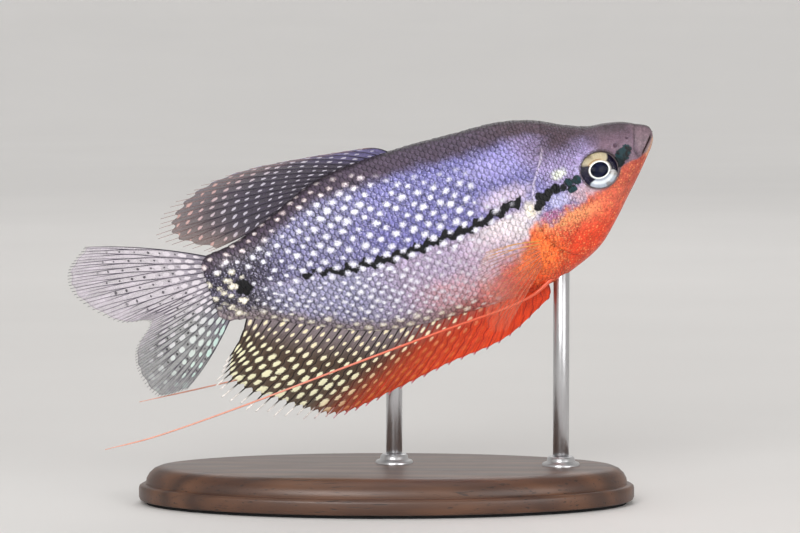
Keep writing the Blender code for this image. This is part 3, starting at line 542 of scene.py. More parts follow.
# The paint. Region by region: a dark olive back, a violet flank with a black zigzag stripe and rows of white
# pearl spots, lilac below it, orange red from the jaw to the belly, and brown over the anal fin. It is dotted
# and brushed over skin and scales alike, so both take it from the same rules.
ROW_LINE = ((0.0, -0.5), (10.0, -2.4), (20.0, -3.4), (27.0, -3.8), (37.4, -4.9), (48.4, -5.5), (58.8, -5.1),
            (70.6, -3.4), (86.6, -1.6))  # the rows of scales and spots keep even distances from this line
STRIPE = ((27.2, -3.0), (32.0, -4.0), (37.4, -5.0), (44.0, -5.0), (48.4, -5.5), (55.0, -5.4), (58.8, -5.1),
          (62.6, -4.8), (65.6, -3.9), (70.6, -3.3))
# Black spots of the head stripe and before the tail: behind the nose, height, radius, share of green glint
BLACKS = ((5.6, -0.9, 0.75, 0.8), (6.7, -1.5, 1.05, 0.7), (7.6, -2.4, 0.9, 0.2), (16.2, -3.0, 0.72, 0.8),
          (17.8, -2.9, 0.68, 0.7), (17.5, -4.2, 0.72, 1.0), (18.9, -3.5, 0.55, 0.2), (20.4, -3.2, 0.8, 0.0),
          (21.7, -3.4, 0.66, 0.0), (22.4, -4.1, 0.68, 0.0), (23.6, -3.6, 0.62, 0.0), (23.7, -4.8, 0.7, 0.0),
          (24.5, -5.4, 0.62, 0.0), (80.5, -1.9, 1.05, 0.0), (81.2, -1.2, 0.6, 0.0), (80.2, -2.9, 0.65, 0.0),
          (81.5, -2.5, 0.5, 0.0), (79.4, -2.6, 0.45, 0.0))
ORANGE_TOP = ((0.0, -1.4), (3.6, -3.07), (5.8, -3.2), (7.4, -3.5), (8.8, -5.05), (10.6, -5.8), (13.8, -6.4),
              (16.6, -7.2), (18.6, -7.3), (20.2, -7.75), (23.0, -8.7), (25.2, -8.4), (27.0, -8.6),
              (28.2, -10.7), (30.4, -12.5), (33.4, -13.5), (37.2, -15.4), (41.8, -17.4), (50.0, -18.6),
              (86.6, -12.0))
PEARL_STEP, PEARL_ROW, PEARL_FROM = 1.56, 3.0, 0.6
PEARL_LONG, PEARL_HIGH = 0.72, 0.6  # half sizes
SMALL_STEP, SMALL_ROW, SMALL_LONG, SMALL_HIGH = 1.17, 2.2, 0.6, 0.48  # the crowded ones below the stripe
LARGE_PEARLS = ((84.4, 2.0), (82.7, -0.2), (82.5, -1.3), (84.4, -1.9), (81.2, -4.4), (84.0, -4.9),
                (83.0, -6.4), (82.2, 3.4))
TABLE_ROWS, TABLE_TURNS, TABLE_STEPS, TABLE_FROM = 200, 600, 240, 0.5


def line_height(line, s):
    line = np.asarray(line)
    return through(line[:, 1:], line[:, 0], s)[..., 0]


def girth_tables():
    """Distances over the skin from the back down, at even turns and the other way about."""
    at = np.linspace(TABLE_FROM, BODY_END, TABLE_ROWS)
    turns = np.linspace(0.0, math.pi, TABLE_TURNS)
    ring = body_at(at[:, None], turns[None])
    arc = np.pad(np.cumsum(np.linalg.norm(np.diff(ring, axis=1), axis=-1), 1), ((0, 0), (1, 0)))
    share = np.linspace(0.0, 1.0, TABLE_STEPS)
    arc_at = np.array([np.interp(share * math.pi, turns, row) for row in arc])
    turn_at = np.array([np.interp(share * row[-1], row, turns) for row in arc])
    zero = [np.interp(-high, -row[:, 2], far) for high, row, far in zip(line_height(ROW_LINE, at), ring, arc)]
    return at, arc_at, turn_at, np.array(zero), arc[:, -1]


TABLE_S, ARC_AT, TURN_AT, ROW_ARC, WHOLE_ARC = girth_tables()


def look_up(table, s, share):
    x = np.clip((s - TABLE_FROM) / (BODY_END - TABLE_FROM), 0.0, 1.0) * (TABLE_ROWS - 1.001)
    y = np.clip(share, 0.0, 1.0) * (TABLE_STEPS - 1.001)
    i, j = x.astype(int), y.astype(int)
    low = table[i, j] * (1 - y + j) + table[i, j + 1] * (y - j)
    high = table[i + 1, j] * (1 - y + j) + table[i + 1, j + 1] * (y - j)
    return low * (1 - x + i) + high * (x - i)


def girth_of(s, turn):
    """How far over the skin a place lies above the rows' line, or below it where negative."""
    return np.interp(s, TABLE_S, ROW_ARC) - look_up(ARC_AT, s, turn / math.pi)


def turn_of(s, girth):
    return look_up(TURN_AT, s, (np.interp(s, TABLE_S, ROW_ARC) - girth) / np.interp(s, TABLE_S, WHOLE_ARC))


def chance_of(one, two):
    """A number from 0 to 1 that looks random and is the same each time."""
    return np.modf(np.abs(np.sin(one * 12.9898 + two * 78.233) * 43758.5453))[0]


def ripple(s, h, size):
    """A gentle unevenness from -1 to 1 that keeps soft borders from being straight."""
    a, b = s / size, h / size
    large = np.sin(2.1 * a + 1.3 * b) * np.sin(1.7 * b - 0.9 * a + 1.0)
    small = 0.6 * np.sin(4.3 * a - 2.9 * b + 2.0) * np.sin(3.7 * b + 2.3 * a)
    return (large + small) / 1.6


def plain_tone(paint, like):
    return np.broadcast_to(np.asarray(tone(*paint)[:3]), (*np.shape(like), 3))


def over(below, share, paint):
    """Lays a paint over what is there."""
    return below + (np.asarray(tone(*paint)[:3]) - below) * np.asarray(share)[..., None]


def brushed(ground, *coats):
    """Lays coats of paint over what is there in their order, each with its share and its colour."""
    for share, paint in coats:
        ground = over(ground, share, paint)
    return ground


def with_fourth(colour, value):
    return np.concatenate([colour, np.broadcast_to(value, colour.shape[:-1])[..., None]], -1)


def spot_at(s, h, at, long, high, soft=0.5):
    """1 inside an oval patch, fading at its edge."""
    far = np.hypot((s - at[0]) / long, (h - at[1]) / high)
    return ease(far + 0.25 * ripple(s, h, 1.1), 1.0 + soft, 1.0 - soft)


def pearl_distance(s, girth, gap, rows_gap, long, high):
    """How far the nearest pearl's middle is, in its own half sizes, and the pearl's chance."""
    best, lot = np.full(np.shape(s), 9.0), np.zeros(np.shape(s))
    middle = np.round((s - PEARL_FROM) / gap)
    for column in (middle - 1, middle, middle + 1):
        shift = np.where(column % 2 == 0, rows_gap / 4, -rows_gap / 4)
        row = np.round((girth - shift) / rows_gap)
        chance, other = chance_of(column, row), chance_of(row + 0.5, column)
        off_s = s - PEARL_FROM - gap * column - 0.3 * gap * (chance - 0.5)
        off_girth = girth - shift - rows_gap * row - 0.2 * rows_gap * (other - 0.5)
        size = 0.78 + 0.4 * chance_of(row, column + 0.3)
        far = np.hypot(off_s / long, off_girth / high) / size + 9.0 * (chance < 0.05)
        lot = np.where(far < best, other, lot)
        best = np.minimum(best, far)
    return best * (1.0 + 0.22 * ease(s, 58.0, 72.0)), lot


def black_edge(s, h):
    """How far inside the black markings a place lies in millimetres, negative outside them."""
    step = -0.38 * np.cos(math.pi * s / PEARL_STEP) + 0.17 * np.sin(3.3 * s + 1.0) + 0.1 * np.sin(7.1 * s)
    half = 0.8 - 0.24 * ease(s, 61.0, 66.0) + 0.13 * np.sin(2.3 * s) + 0.08 * np.sin(5.9 * s + 0.7)
    half = half - 1.2 * ease(s, 69.0, 71.5) - 1.2 * ease(s, 27.2, 26.4)
    half = half - 0.3 * ease(s, 63, 66) * (np.sin(2.0 * s) > 0.5)
    edge = half - np.abs(h - line_height(STRIPE, s) - step)
    green, spots = np.zeros(np.shape(s)), np.full(np.shape(s), -9.0)
    for at_s, at_h, radius, glint in BLACKS:
        inside = 1.25 * radius - np.hypot(s - at_s, h - at_h)
        green = np.where(inside > spots, glint, green)
        spots = np.maximum(spots, inside)
    return np.clip(np.maximum(edge, spots), -2.0, 2.0), green, ease(spots, -0.3, 0.2)


def body_paint(s, h, girth):
    """Four layers: the ground with its share of dark net, the glitter with its amount, the pearl spots with
    their strength, and the marks: distance to a spot, the way into black, and shares of ember and green."""
    back, belly, _, _ = section(s)
    depth, rise = back - h, h - belly
    under_row = line_height(ROW_LINE, s) - h
    rough = ripple(s, h, 2.4)
    below = ease(under_row + 0.6 * rough, -0.4, 1.2)
    ground = brushed(
        plain_tone((114, 110, 168), s),
        (ease(s, 31.0, 38.0), (116, 113, 174)),
        (ease(s, 50.0, 66.0), (128, 125, 168)),
        (ease(s, 69.0, 78.0), (62, 56, 76)),
        (spot_at(s, h, (28.5, 4.4), 6.0, 2.4, 0.7) * 0.8, (166, 158, 218)),
        (ease(s - 0.5 * (h - 2.0), 26.0, 21.0) * (1 - below), (152, 136, 180)),
        # Pink white just over the stripe and behind the gill cover, then lilac and smoke below it
        (spot_at(s, h, (29.5, -1.9), 4.6, 1.9, 0.6) * 0.8, (222, 204, 224)),
        (below * ease(s, 24.0, 30.0), (178, 161, 190)),
        (below * ease(s, 50.0, 62.0), (158, 156, 190)),
        (below * ease(s, 72.0, 80.0), (64, 60, 74)),
        (ease(rise + rough, 9.5, 5.0) * ease(s, 34.0, 38.0) * ease(s, 54.0, 46.0), (208, 162, 172)),
        (spot_at(s, h, (31.5, -7.4), 6.2, 3.4, 0.5) * ease(under_row, 0.4, 1.6), (234, 222, 226)),
        (spot_at(s, h, (36.0, -11.0), 5.5, 3.4, 0.7) * 0.7, (206, 180, 202)))
    # Painted light: just above the anal fin, where the body curves under into shade, the ground is laid paler
    near_base = ease(rise + 0.8 * rough, 3.4, 1.0) * ease(s, 35.0, 44.0)
    ground = over(ground, near_base * 0.8, (160, 146, 150))
    # The dark back, wider towards the dorsal fin and running out over nape and snout
    wide = 3.0 + 0.8 * ease(s, 24.0, 32.0) - 1.4 * ease(s, 54.0, 67.0)
    dark = ease(depth + 0.5 * rough, wide + 1.7, wide - 1.1)
    nape = ease(s + 0.35 * h, 28.0, 19.0) * ease(h + 0.6 * rough, 0.6, 5.0)
    dark = np.maximum(dark * ease(s, 12.0, 18.0), nape)
    ground = over(ground, dark, (84, 67, 77))
    ground = over(ground, dark * ease(s, 24.0, 34.0) * 0.7, (82, 70, 90))
    snout = ease(s + 0.5 * (h + 1.0), 15.0, 10.5)
    ground = brushed(
        ground,
        (snout, (112, 90, 104)),
        (snout * ease(depth, 3.6, 0.8) * ease(s, 2.6, 5.0), (78, 64, 72)),
        (ease(s, 4.0, 3.0) * 0.8, (122, 102, 110)),
        (ease(depth, 0.9, 0.1) * 0.8, (40, 33, 37)),
        # Cheek: pink grey under the eye, blue white with a yellow white fleck behind it, yellow below
        (spot_at(s, h, (15.6, -5.6), 3.4, 1.7, 0.6) * 0.8, (206, 172, 180)),
        (spot_at(s, h, (19.0, -0.9), 1.3, 0.9, 0.5), (226, 230, 216)),
        (spot_at(s, h, (20.4, -5.5), 1.9, 1.3, 0.5) * 0.8, (190, 188, 228)),
        (spot_at(s, h, (25.6, -5.4), 1.5, 1.4, 0.6), (240, 232, 214)))
    # Orange red below, sharp along the jaw and broken on the cheek and breast
    soft = 0.25 + 0.7 * ease(s, 6.0, 14.0) + 1.0 * ease(s, 26.0, 32.0)
    ragged = (0.15 + 0.6 * ease(s, 9.0, 16.0)) * rough + 0.55 * ripple(s, h, 0.75) * ease(s, 9.0, 13.0)
    orange = ease(line_height(ORANGE_TOP, s) - h + ragged, -soft, soft)
    keep = orange * (1.0 - 0.5 * ease(s, 31.0, 40.0)) * ease(s, 50.0, 42.0)
    ember = brushed(
        plain_tone((212, 102, 78), s),
        (ease(h, -8.0, -14.0), (214, 70, 44)),
        (spot_at(s, h, (27.4, -13.4), 4.2, 4.0, 0.6), (255, 124, 66)),
        (spot_at(s, h, (19.4, -9.0), 5.4, 1.5, 0.6) * 0.6, (242, 164, 112)),
        (ease(s, 12.0, 5.0) * 0.9, (166, 76, 62)),
        (ease(rise, 1.2, 0.1) * 0.5, (206, 88, 70)))
    ground = ground + (ember - ground) * keep[..., None]
    ground = over(ground, spot_at(s, h, (22.8, -7.6), 2.1, 0.95) * 0.75, (176, 96, 130))
    # Painted shade: dark lines in the folds of the jaws and in the mouth's slit, darker where the skin sinks
    # deeper. Then the pale edge of the gill cover
    mouth, share = off_line(s, h, MOUTH_LINE)
    fold = np.clip(fold_depth(s, h) / 0.2, 0.0, 1.0)
    mouth_shade = ease(np.abs(mouth), 0.3, 0.1) * ease(share, 1.0, 0.85) * ease(s, 0.1, 0.6)
    ground = over(ground, mouth_shade * 0.92, (44, 28, 28))
    ground = over(ground, fold * ease(h, -4.0, -2.6) * 0.7, (62, 50, 58))
    # Painted highlight: a pale band along the lower lip's roll
    lip_highlight = np.exp(-(((mouth + 0.62) / 0.24) ** 2)) * ease(share, 0.2, 0.5) * ease(share, 1.0, 0.85)
    ground = over(ground, lip_highlight * 0.6, (246, 196, 150))
    gill = np.exp(-(((s - gill_edge_at(h) + 0.25) / 0.22) ** 2)) * cover_share(h) * (1 - keep)
    ground = over(ground, gill * 0.6, (232, 220, 236))
    ground = over(ground, ease(eye_distance(s, h), 1.12, 1.03) * 0.75, (58, 44, 46))
    # Glitter: white violet on the flank, gold white on the orange
    glitter = plain_tone((204, 201, 246), s)
    glitter = over(glitter, np.maximum(below * 0.7, ease(s, 48.0, 60.0) * 0.5), (240, 232, 246))
    glitter = over(glitter, keep, (255, 214, 140))
    amount = 0.8 - 0.72 * dark - 0.7 * snout - 0.55 * keep - 0.5 * near_base - 0.1 * ease(s, 40.0, 60.0)
    amount = amount + 0.5 * keep * spot_at(s, h, (19.4, -9.4), 6.0, 2.4, 0.6)
    amount = np.clip(amount, 0.05, 1.0) * ease(s, 2.0, 5.0)
    # Pearls: clear and white on the flank, soft and crowded below the stripe, cream over the fin
    far, lot = pearl_distance(s, girth, PEARL_STEP, PEARL_ROW, PEARL_LONG, PEARL_HIGH)
    small, small_lot = pearl_distance(s, girth, SMALL_STEP, SMALL_ROW, SMALL_LONG, SMALL_HIGH)
    crowded = ease(under_row + 0.3 * rough, 1.9, 2.7) * ease(rise + 0.3 * rough, 1.8, 2.6)
    far, lot = np.where(crowded > 0.5, small, far), np.where(crowded > 0.5, small_lot, lot)
    edge, green, covered = black_edge(s, h)
    deep_row = wide - 0.4 + 2.0 * ease(s, 56.0, 44.0) - 1.8 * ease(s, 48.0, 56.0)
    strong = ease(s, 33.0, 36.5) * ease(depth, deep_row - 1.0, deep_row + 1.2)
    strong = strong * (1.0 - 0.7 * ease(s, 48.0, 38.0) * ease(h, 2.5, 6.5))
    beside = np.exp(-(((np.abs(under_row + 0.2) - 1.3) / 0.9) ** 2))
    beside = beside * ease(s, 27.6, 30.0) * ease(s, 76.0, 70.0)
    strong = np.maximum(strong * (1.0 - 0.6 * crowded * ease(s, 56.0, 42.0)), beside) * (1.0 - covered)
    strong = strong * (1.0 - keep * (1.0 - near_base))
    strong = strong * (1.0 - 0.8 * ease(s, 40.0, 34.0) * ease(under_row, 6.0, 9.0))
    strong = np.maximum(strong, near_base * ease(s, 36.0, 40.0))
    strong = strong * (1.0 - 0.7 * ease(s, 78.0, 80.0) * ease(h, -3.0, -4.0))
    for number, (at_s, at_h) in enumerate(LARGE_PEARLS):
        near = np.hypot((s - at_s) / 0.72, (h - at_h) / 0.52) + 0.15 * math.sin(9.0 * number)
        strong = strong * ease(near, 1.5, 2.4)
        strong, lot = np.where(near < 1.5, 1.0, strong), np.where(near < far, 0.5, lot)
        far = np.minimum(far, near)
    cream = np.maximum(near_base, ease(s, 78.0, 81.0) * ease(h, 2.6, 1.0))
    pearl = brushed(
        plain_tone((229, 228, 246), s),
        (ease(under_row, 1.6, 4.0) * ease(s, 56.0, 44.0) * 0.6, (234, 222, 240)),
        (cream, (246, 238, 214)),
        (dark * ease(s, 46.0, 50.0) * 0.8, (214, 186, 184)),
        (ease(h, 3.0, 7.0) * ease(s, 60.0, 44.0) * 0.5, (206, 206, 248)))
    net_share = np.clip(0.62 - 0.12 * dark - 0.15 * below - 0.15 * keep + 0.3 * ease(s, 52.0, 66.0), 0.0, 1.0)
    net_share = net_share * (0.25 + 0.75 * ease(s, 10.0, 17.0))
    marks = np.stack([far, edge, keep, green], -1)
    strong = strong * (0.8 + 0.2 * lot)
    return with_fourth(ground, net_share), with_fourth(glitter, amount), with_fourth(pearl, strong), marks


def group(name, inputs, outputs):
    """An empty node group with named sockets, and its two ends."""
    made = bpy.data.node_groups.new(name, "ShaderNodeTree")
    for title, kind, value in inputs:
        socket = made.interface.new_socket(title, in_out="INPUT", socket_type="NodeSocket" + kind)
        if value is not None:
            socket.default_value = value
    for title, kind in outputs:
        made.interface.new_socket(title, in_out="OUTPUT", socket_type="NodeSocket" + kind)
    return made, made.nodes.new("NodeGroupInput").outputs, made.nodes.new("NodeGroupOutput").inputs


def use_group(tree, made, inputs):
    return node(tree, "Group", inputs, node_tree=made).outputs


def layer(tree, name):
    return node(tree, "Attribute", attribute_name=name, attribute_type="GEOMETRY").outputs


# Bright cells: the fine flecks that lie in a fish's skin, a quarter of a millimetre or so across
bright_cells, given, out = group(
    "bright_cells", (("Place", "Vector", None), ("Size", "Float", 0.26), ("Share", "Float", 0.5)),
    (("Mask", "Float"), ("Lot", "Float")))
scale = reckon("DIVIDE", 1.0 / MM, given["Size"])
cells = node(bright_cells, "TexVoronoi", {"Vector": given["Place"], "Scale": scale})
lots = node(bright_cells, "SeparateColor", {0: cells.outputs["Color"]}).outputs
chosen = reckon("LESS_THAN", lots[0], given["Share"])
round_cell = span(cells.outputs["Distance"], 0.6, 0.25)
strength = plus(0.3, times(lots[1], 0.7))
feed(out["Mask"], times(times(chosen, round_cell), strength))
feed(out["Lot"], lots[2])

# Fish paint: the layers put together in the order in which they are brushed, each a little uneven
fish_paint, given, out = group(
    "fish_paint", (("Place", "Vector", None), ("Ground", "Color", None), ("Net", "Float", 0.5),
                   ("Glitter", "Color", None), ("Amount", "Float", 0.5), ("Pearl", "Color", None),
                   ("Strength", "Float", 0.0), ("Marks", "Color", None), ("Green", "Float", 0.0),
                   ("Border", "Float", 0.0)),
    (("Colour", "Color"), ("Roughness", "Float"), ("Coat", "Float"), ("Height", "Float")))
far, edge, ember = node(fish_paint, "SeparateColor", {0: given["Marks"]}).outputs
fine = grain(fish_paint, given["Place"], 0.3, 3.0, 0.6)
coarse = grain(fish_paint, given["Place"], 1.1, 2.0)
uneven = plus(times(fine, 1.5), times(coarse, 1.0))
netted = times(times(given["Border"], given["Net"]), 0.78)
value = minus(minus(uneven, 0.18), netted)
colour = {"Color": given["Ground"], "Value": value, "Saturation": 1.02}
colour = node(fish_paint, "HueSaturation", colour).outputs[0]
cells = use_group(fish_paint, bright_cells, {"Place": given["Place"], "Size": 0.28, "Share": 0.62})
glint = times(times(cells["Mask"], given["Amount"]), minus(1.0, netted))
colour = blend(glint, colour, given["Glitter"])
flecks = use_group(fish_paint, bright_cells, {"Place": given["Place"], "Size": 0.4, "Share": 0.5})
red_share = times(times(flecks["Mask"], ember), 0.7)
red = blend(reckon("GREATER_THAN", flecks["Lot"], 0.45), tone(176, 40, 22), tone(252, 164, 100))
colour = blend(red_share, colour, red)
ragged = plus(far, plus(times(minus(fine, 0.5), 1.9), times(minus(coarse, 0.5), 0.9)))
halo = times(span(ragged, 1.9, 1.3), times(given["Strength"], 0.34))
colour = node(fish_paint, "HueSaturation", {"Color": colour, "Value": minus(1.0, halo)}).outputs[0]
into = plus(edge, times(minus(plus(fine, coarse), 1.0), 0.8))
black = span(into, -0.08, 0.12)
glimmer = times(span(coarse, 0.42, 0.6), given["Green"])
colour = blend(black, colour, blend(glimmer, tone(2, 2, 7), tone(14, 56, 64)))
heart = times(span(ragged, 1.25, 0.5), given["Strength"])
colour = blend(heart, colour, given["Pearl"])
core = times(span(ragged, 0.75, 0.2), times(given["Strength"], 0.85))
colour = blend(core, colour, tone(254, 252, 250))
feed(out["Colour"], colour)
gloss = minus(0.52, times(cells["Mask"], 0.2))
feed(out["Roughness"], gloss)
feed(out["Coat"], minus(0.2, times(black, 0.18)))
feed(out["Height"], plus(fine, times(heart, 0.8)))


def painted(tree, shader, border=0.0):
    """Sets the fish paint on a finish, from the layers that the mesh carries."""
    ground, glitter, pearl, marks = (layer(tree, name) for name in PAINT_LAYERS)
    found = use_group(tree, fish_paint, {
        "Place": place(tree), "Border": border, "Ground": ground["Color"], "Net": ground["Alpha"],
        "Glitter": glitter["Color"], "Amount": glitter["Alpha"], "Pearl": pearl["Color"],
        "Strength": pearl["Alpha"], "Marks": marks["Color"], "Green": marks["Alpha"]})
    feed(shader.inputs["Base Color"], found["Colour"])
    feed(shader.inputs["Roughness"], found["Roughness"])
    feed(shader.inputs["Coat Weight"], found["Coat"])
    raise_by(tree, shader, found["Height"], 0.05, 0.7)


PAINT_LAYERS = ("ground", "glitter", "pearl", "marks")
skin_look, tree, shader = finish("wet_skin", Specular_IOR_Level=0.3, Coat_Roughness=0.12)
painted(tree, shader)

nose = np.array([[0.1, 0.0, 0.5]])
tail = np.array([[-BODY_END - 0.1, 0.0, -0.9]])
skin_girth = girth_of(skin_s, np.minimum(turn, 2 * math.pi - turn)[None])
end_layers = body_paint(np.array([0.0, BODY_END]), np.array([0.5, -0.9]), np.array([0.0, 0.0]))
skin_layers = {name: np.concatenate([ends[:1], values.reshape(-1, 4), ends[1:]]) for name, ends, values in
               zip(PAINT_LAYERS, end_layers, body_paint(skin_s, skin_h, skin_girth))}
rows_of_skin = len(skin_points)
grid_points = rows_of_skin * AROUND
all_points = posed(np.concatenate([nose, skin_points.reshape(-1, 3), tail]))
here, after = np.arange(AROUND), (np.arange(AROUND) + 1) % AROUND
fans = np.concatenate([np.stack([0 * here, 1 + after, 1 + here], -1),
                       np.stack([0 * here + grid_points + 1, grid_points - AROUND + 1 + here,
                                 grid_points - AROUND + 1 + after], -1)])
columns = np.stack(np.broadcast_arrays(np.arange(rows_of_skin - 1)[:, None], here[None]), -1)
unwrap = columns.reshape(-1, 1, 2) + np.array([[0, 0], [0, 1], [1, 1], [1, 0]])[None]
fan_map = np.concatenate([np.stack([[0 * here, here], [0 * here, here + 1], [0 * here, here]], 1).T,
                          np.stack([[0 * here, here], [0 * here, here], [0 * here, here + 1]], 1).T
                          + np.array([rows_of_skin - 1, 0])])
unwrap = np.concatenate([unwrap.reshape(-1, 2), fan_map.reshape(-1, 2)]) / np.array([rows_of_skin, AROUND])
skin = make_piece("body_skin", all_points, [net(rows_of_skin, AROUND) + 1, fans], skin_look,
                  {"OFBake": unwrap * 0.98 + 0.01}, skin_layers)
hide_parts("head", "torso", "tail_stalk")
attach(skin, "root")

# The scales. Thin horny plates lie in staggered rows along the stripe, each rooted under the two before it
# and free at its rounded rear edge. They cover trunk, nape, cheek and gill cover, and sink flush into the
# bare skin of snout, lips and throat and round the eye.
SCALE_STEP_HEAD, SCALE_STEP_BODY, SCALE_STEP_TAIL = 0.5, 0.78, 0.66  # along the fish, half of a row's spacing
SCALE_PITCH = 1.92  # spacing across, in steps
SCALES_FROM, SCALES_TO = 7.5, 86.3
SCALE_HALF_LONG, SCALE_HALF_WIDE = 1.36, 1.24  # in steps
SCALE_ROOT, SCALE_FREE, SCALE_CROWN, SCALE_THICK, SCALE_SUNK = -0.15, 0.045, 0.03, 0.05, -0.2
SCALE_GRID = 7  # points along and across a plate


def scale_places():
    """Where scales sit: distance behind the nose, girth, the step there, column and row numbers."""
    places, s, column = [], SCALES_FROM, 0
    while s < SCALES_TO:
        step = SCALE_STEP_HEAD + (SCALE_STEP_BODY - SCALE_STEP_HEAD) * float(ease(s, 17.0, 30.0))
        step += (SCALE_STEP_TAIL - SCALE_STEP_BODY) * float(ease(s, 68.0, 84.0))
        half_pitch = step * SCALE_PITCH / 2
        high, low = np.interp(s, TABLE_S, ROW_ARC), np.interp(s, TABLE_S, WHOLE_ARC - ROW_ARC)
        rows = np.arange(-60, 61)
        rows = rows[(rows + column) % 2 == 0]
        across = rows * half_pitch
        rows = rows[(across > -low + 0.7 * half_pitch) & (across < high - 0.2 * half_pitch)]
        places += [(s, row * half_pitch, step, column, row) for row in rows]
        s += step
        column += 1
    return np.array(places)


def bare_share(s, h):
    """1 where scales lie, going to 0 where they sink flush: snout, throat and round the eye."""
    front = ease(s - 0.5 * np.maximum(2.0 - h, 0.0), 8.5, 12.0)
    throat = ease(h + 9.5 + 0.75 * (s - 14.0), 0.0, 2.4)
    throat = np.maximum(throat, ease(s, 21.0, 24.0))
    return front * throat * ease(eye_distance(s, h), 1.1, 1.5)


def scale_plates(name, places, side, of_head=False):
    """All the scales of one region and flank, as one mesh of closed plates."""
    s, girth, step, column, row = places.T
    n = SCALE_GRID
    steps = np.linspace(-1.0, 1.0, n)
    u, v = (grid.ravel() for grid in np.meshgrid(steps, steps, indexing="ij"))
    round_off = np.where(u > 0, 0.95, 0.45)
    x, y = u * np.sqrt(1 - round_off * v**2 / 2), v * np.sqrt(1 - round_off * u**2 / 2)
    rim = [k for k in range(n * n) if abs(u[k]) == 1 or abs(v[k]) == 1]
    rim.sort(key=lambda k: math.atan2(v[k], u[k]))
    lift = SCALE_ROOT + (SCALE_FREE - SCALE_ROOT) * (u + 1) / 2 + SCALE_CROWN * (1 - v**2) - 0.02 * (u == 1)
    chance = chance_of(column, row + 7.0 * side)
    size = (step / SCALE_STEP_BODY)[:, None]
    jitter = 0.06 * (chance_of(row, column)[:, None] - 0.5)
    at_s = s[:, None] + x[None] * SCALE_HALF_LONG * step[:, None]
    at_girth = girth[:, None] + (y[None] * SCALE_HALF_WIDE + jitter) * step[:, None]
    at_turn = turn_of(at_s, at_girth)
    at_h = body_at(at_s, at_turn)[..., 2]
    shown = bare_share(at_s, at_h)
    up = SCALE_SUNK + (lift[None] * size + 0.03 * (chance[:, None] - 0.5) - SCALE_SUNK) * shown
    upper = body_at(at_s, at_turn, up, of_head)
    lower = body_at(at_s[:, rim], at_turn[:, rim], up[:, rim] - SCALE_THICK - 0.03, of_head)
    points = np.concatenate([upper, lower], 1)
    points[..., 1] *= side
    around = len(rim)
    skirt = np.array([(rim[k], rim[(k + 1) % around], n * n + (k + 1) % around, n * n + k)
                      for k in range(around)])
    per = n * n + around
    first = (np.arange(len(s)) * per)[:, None, None]
    # The grid's top runs root to tip and left to right, so that skirt and underside turn the same way
    faces = [np.concatenate([(first + net(n, n, closed=False)[None]).reshape(-1, 4),
                             (first + skirt[None, :, ::-1]).reshape(-1, 4)]),
             (first + n * n + np.arange(around)[None]).reshape(-1, around)]
    layers = body_paint(at_s, at_h, at_girth)
    tint = (0.9 + 0.2 * chance)[:, None, None]
    layers[0][..., :3] *= tint
    spread = {title: np.concatenate([values, values[:, rim]], 1)
              for title, values in zip(PAINT_LAYERS, layers)}
    local = np.concatenate([np.stack([u, v], -1), np.stack([u[rim], v[rim]], -1)])
    local = np.repeat(local[None], len(s), 0)
    # On the flat map for baking, each scale has its own small square, and the left flank lies above the right
    root = np.stack([s / 92.0, 0.25 + 0.5 * (side > 0) + girth / 150.0], -1)
    bake = root[:, None, :] + local * 0.0015
    made = make_piece(name, posed(points), faces, scale_look, {"ScaleMap": local, "OFBake": bake}, spread)
    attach(made, "root")


scale_look, tree, shader = finish("pearl_scale", Specular_IOR_Level=0.3, Coat_Roughness=0.12)
plate_map = node(tree, "SeparateXYZ", {0: node(tree, "UVMap", uv_map="ScaleMap").outputs[0]}).outputs
rim = reckon("MAXIMUM", reckon("ABSOLUTE", plate_map[1]), plate_map[0])
painted(tree, shader, span(rim, 0.45, 0.9))

places = scale_places()
place_h = body_at(places[:, 0], turn_of(places[:, 0], places[:, 1]))[..., 2]
gill_s = gill_edge_at(place_h)
on_body = places[:, 0] > gill_s + 0.25
on_cover = (places[:, 0] < gill_s - 0.6) & (bare_share(places[:, 0], place_h) > 0.02)
for side, flank in ((-1, "right"), (1, "left")):
    scale_plates(f"scales_head_{flank}", places[on_cover], side, True)
    scale_plates(f"scales_front_{flank}", places[on_body & (places[:, 0] < 50.0)], side)
    scale_plates(f"scales_rear_{flank}", places[on_body & (places[:, 0] >= 50.0)], side)

# The eyes. Each is a ball of clear resin cast over a painted iris, with a black lens that bulges through the
# pupil, set in its socket facing a little forward. A thin dark fold of skin holds it all round.
EYE_OUT, EYE_FACES_FORWARD = 5.42, math.radians(13.0)
PUPIL_LONG, PUPIL_HIGH = 1.76, 1.40
IRIS_RINGS, IRIS_TURNS, ORBIT_SIDES = 40, 180, 12
LENS_BULGE, CORNEA_BULGE, CORNEA_THICK = 0.55, 0.95, 0.22
IRIS_FLOOR, LENS_FLOOR = -1.7, -1.4  # how deep the undersides lie


def eye_frame(side):
    """The eye's middle, and its directions backwards, up and outwards, in the fish's frame."""
    c, n = math.cos(EYE_FACES_FORWARD), math.sin(EYE_FACES_FORWARD)
    back = np.array([-c, side * n, 0.0])
    outward = np.array([n, side * c, 0.12])
    outward /= np.linalg.norm(outward)
    up = np.array([0.0, 0.0, 1.0])
    up = up - outward * (up @ outward)
    up /= np.linalg.norm(up)
    return np.array([-EYE_AT[0], side * EYE_OUT, EYE_AT[1]]), back, up, outward


def eye_disc(side, radii, heights, long, high):
    """Rings round the eye's axis: radii as a share of the half sizes, heights outwards."""
    middle, back, up, outward = eye_frame(side)
    turns = circle(IRIS_TURNS)
    radii, heights = np.asarray(radii)[:, None, None], np.asarray(heights)[:, None, None]
    flat = long * np.cos(turns)[None, :, None] * back + high * np.sin(turns)[None, :, None] * up
    return middle + radii * flat + heights * outward


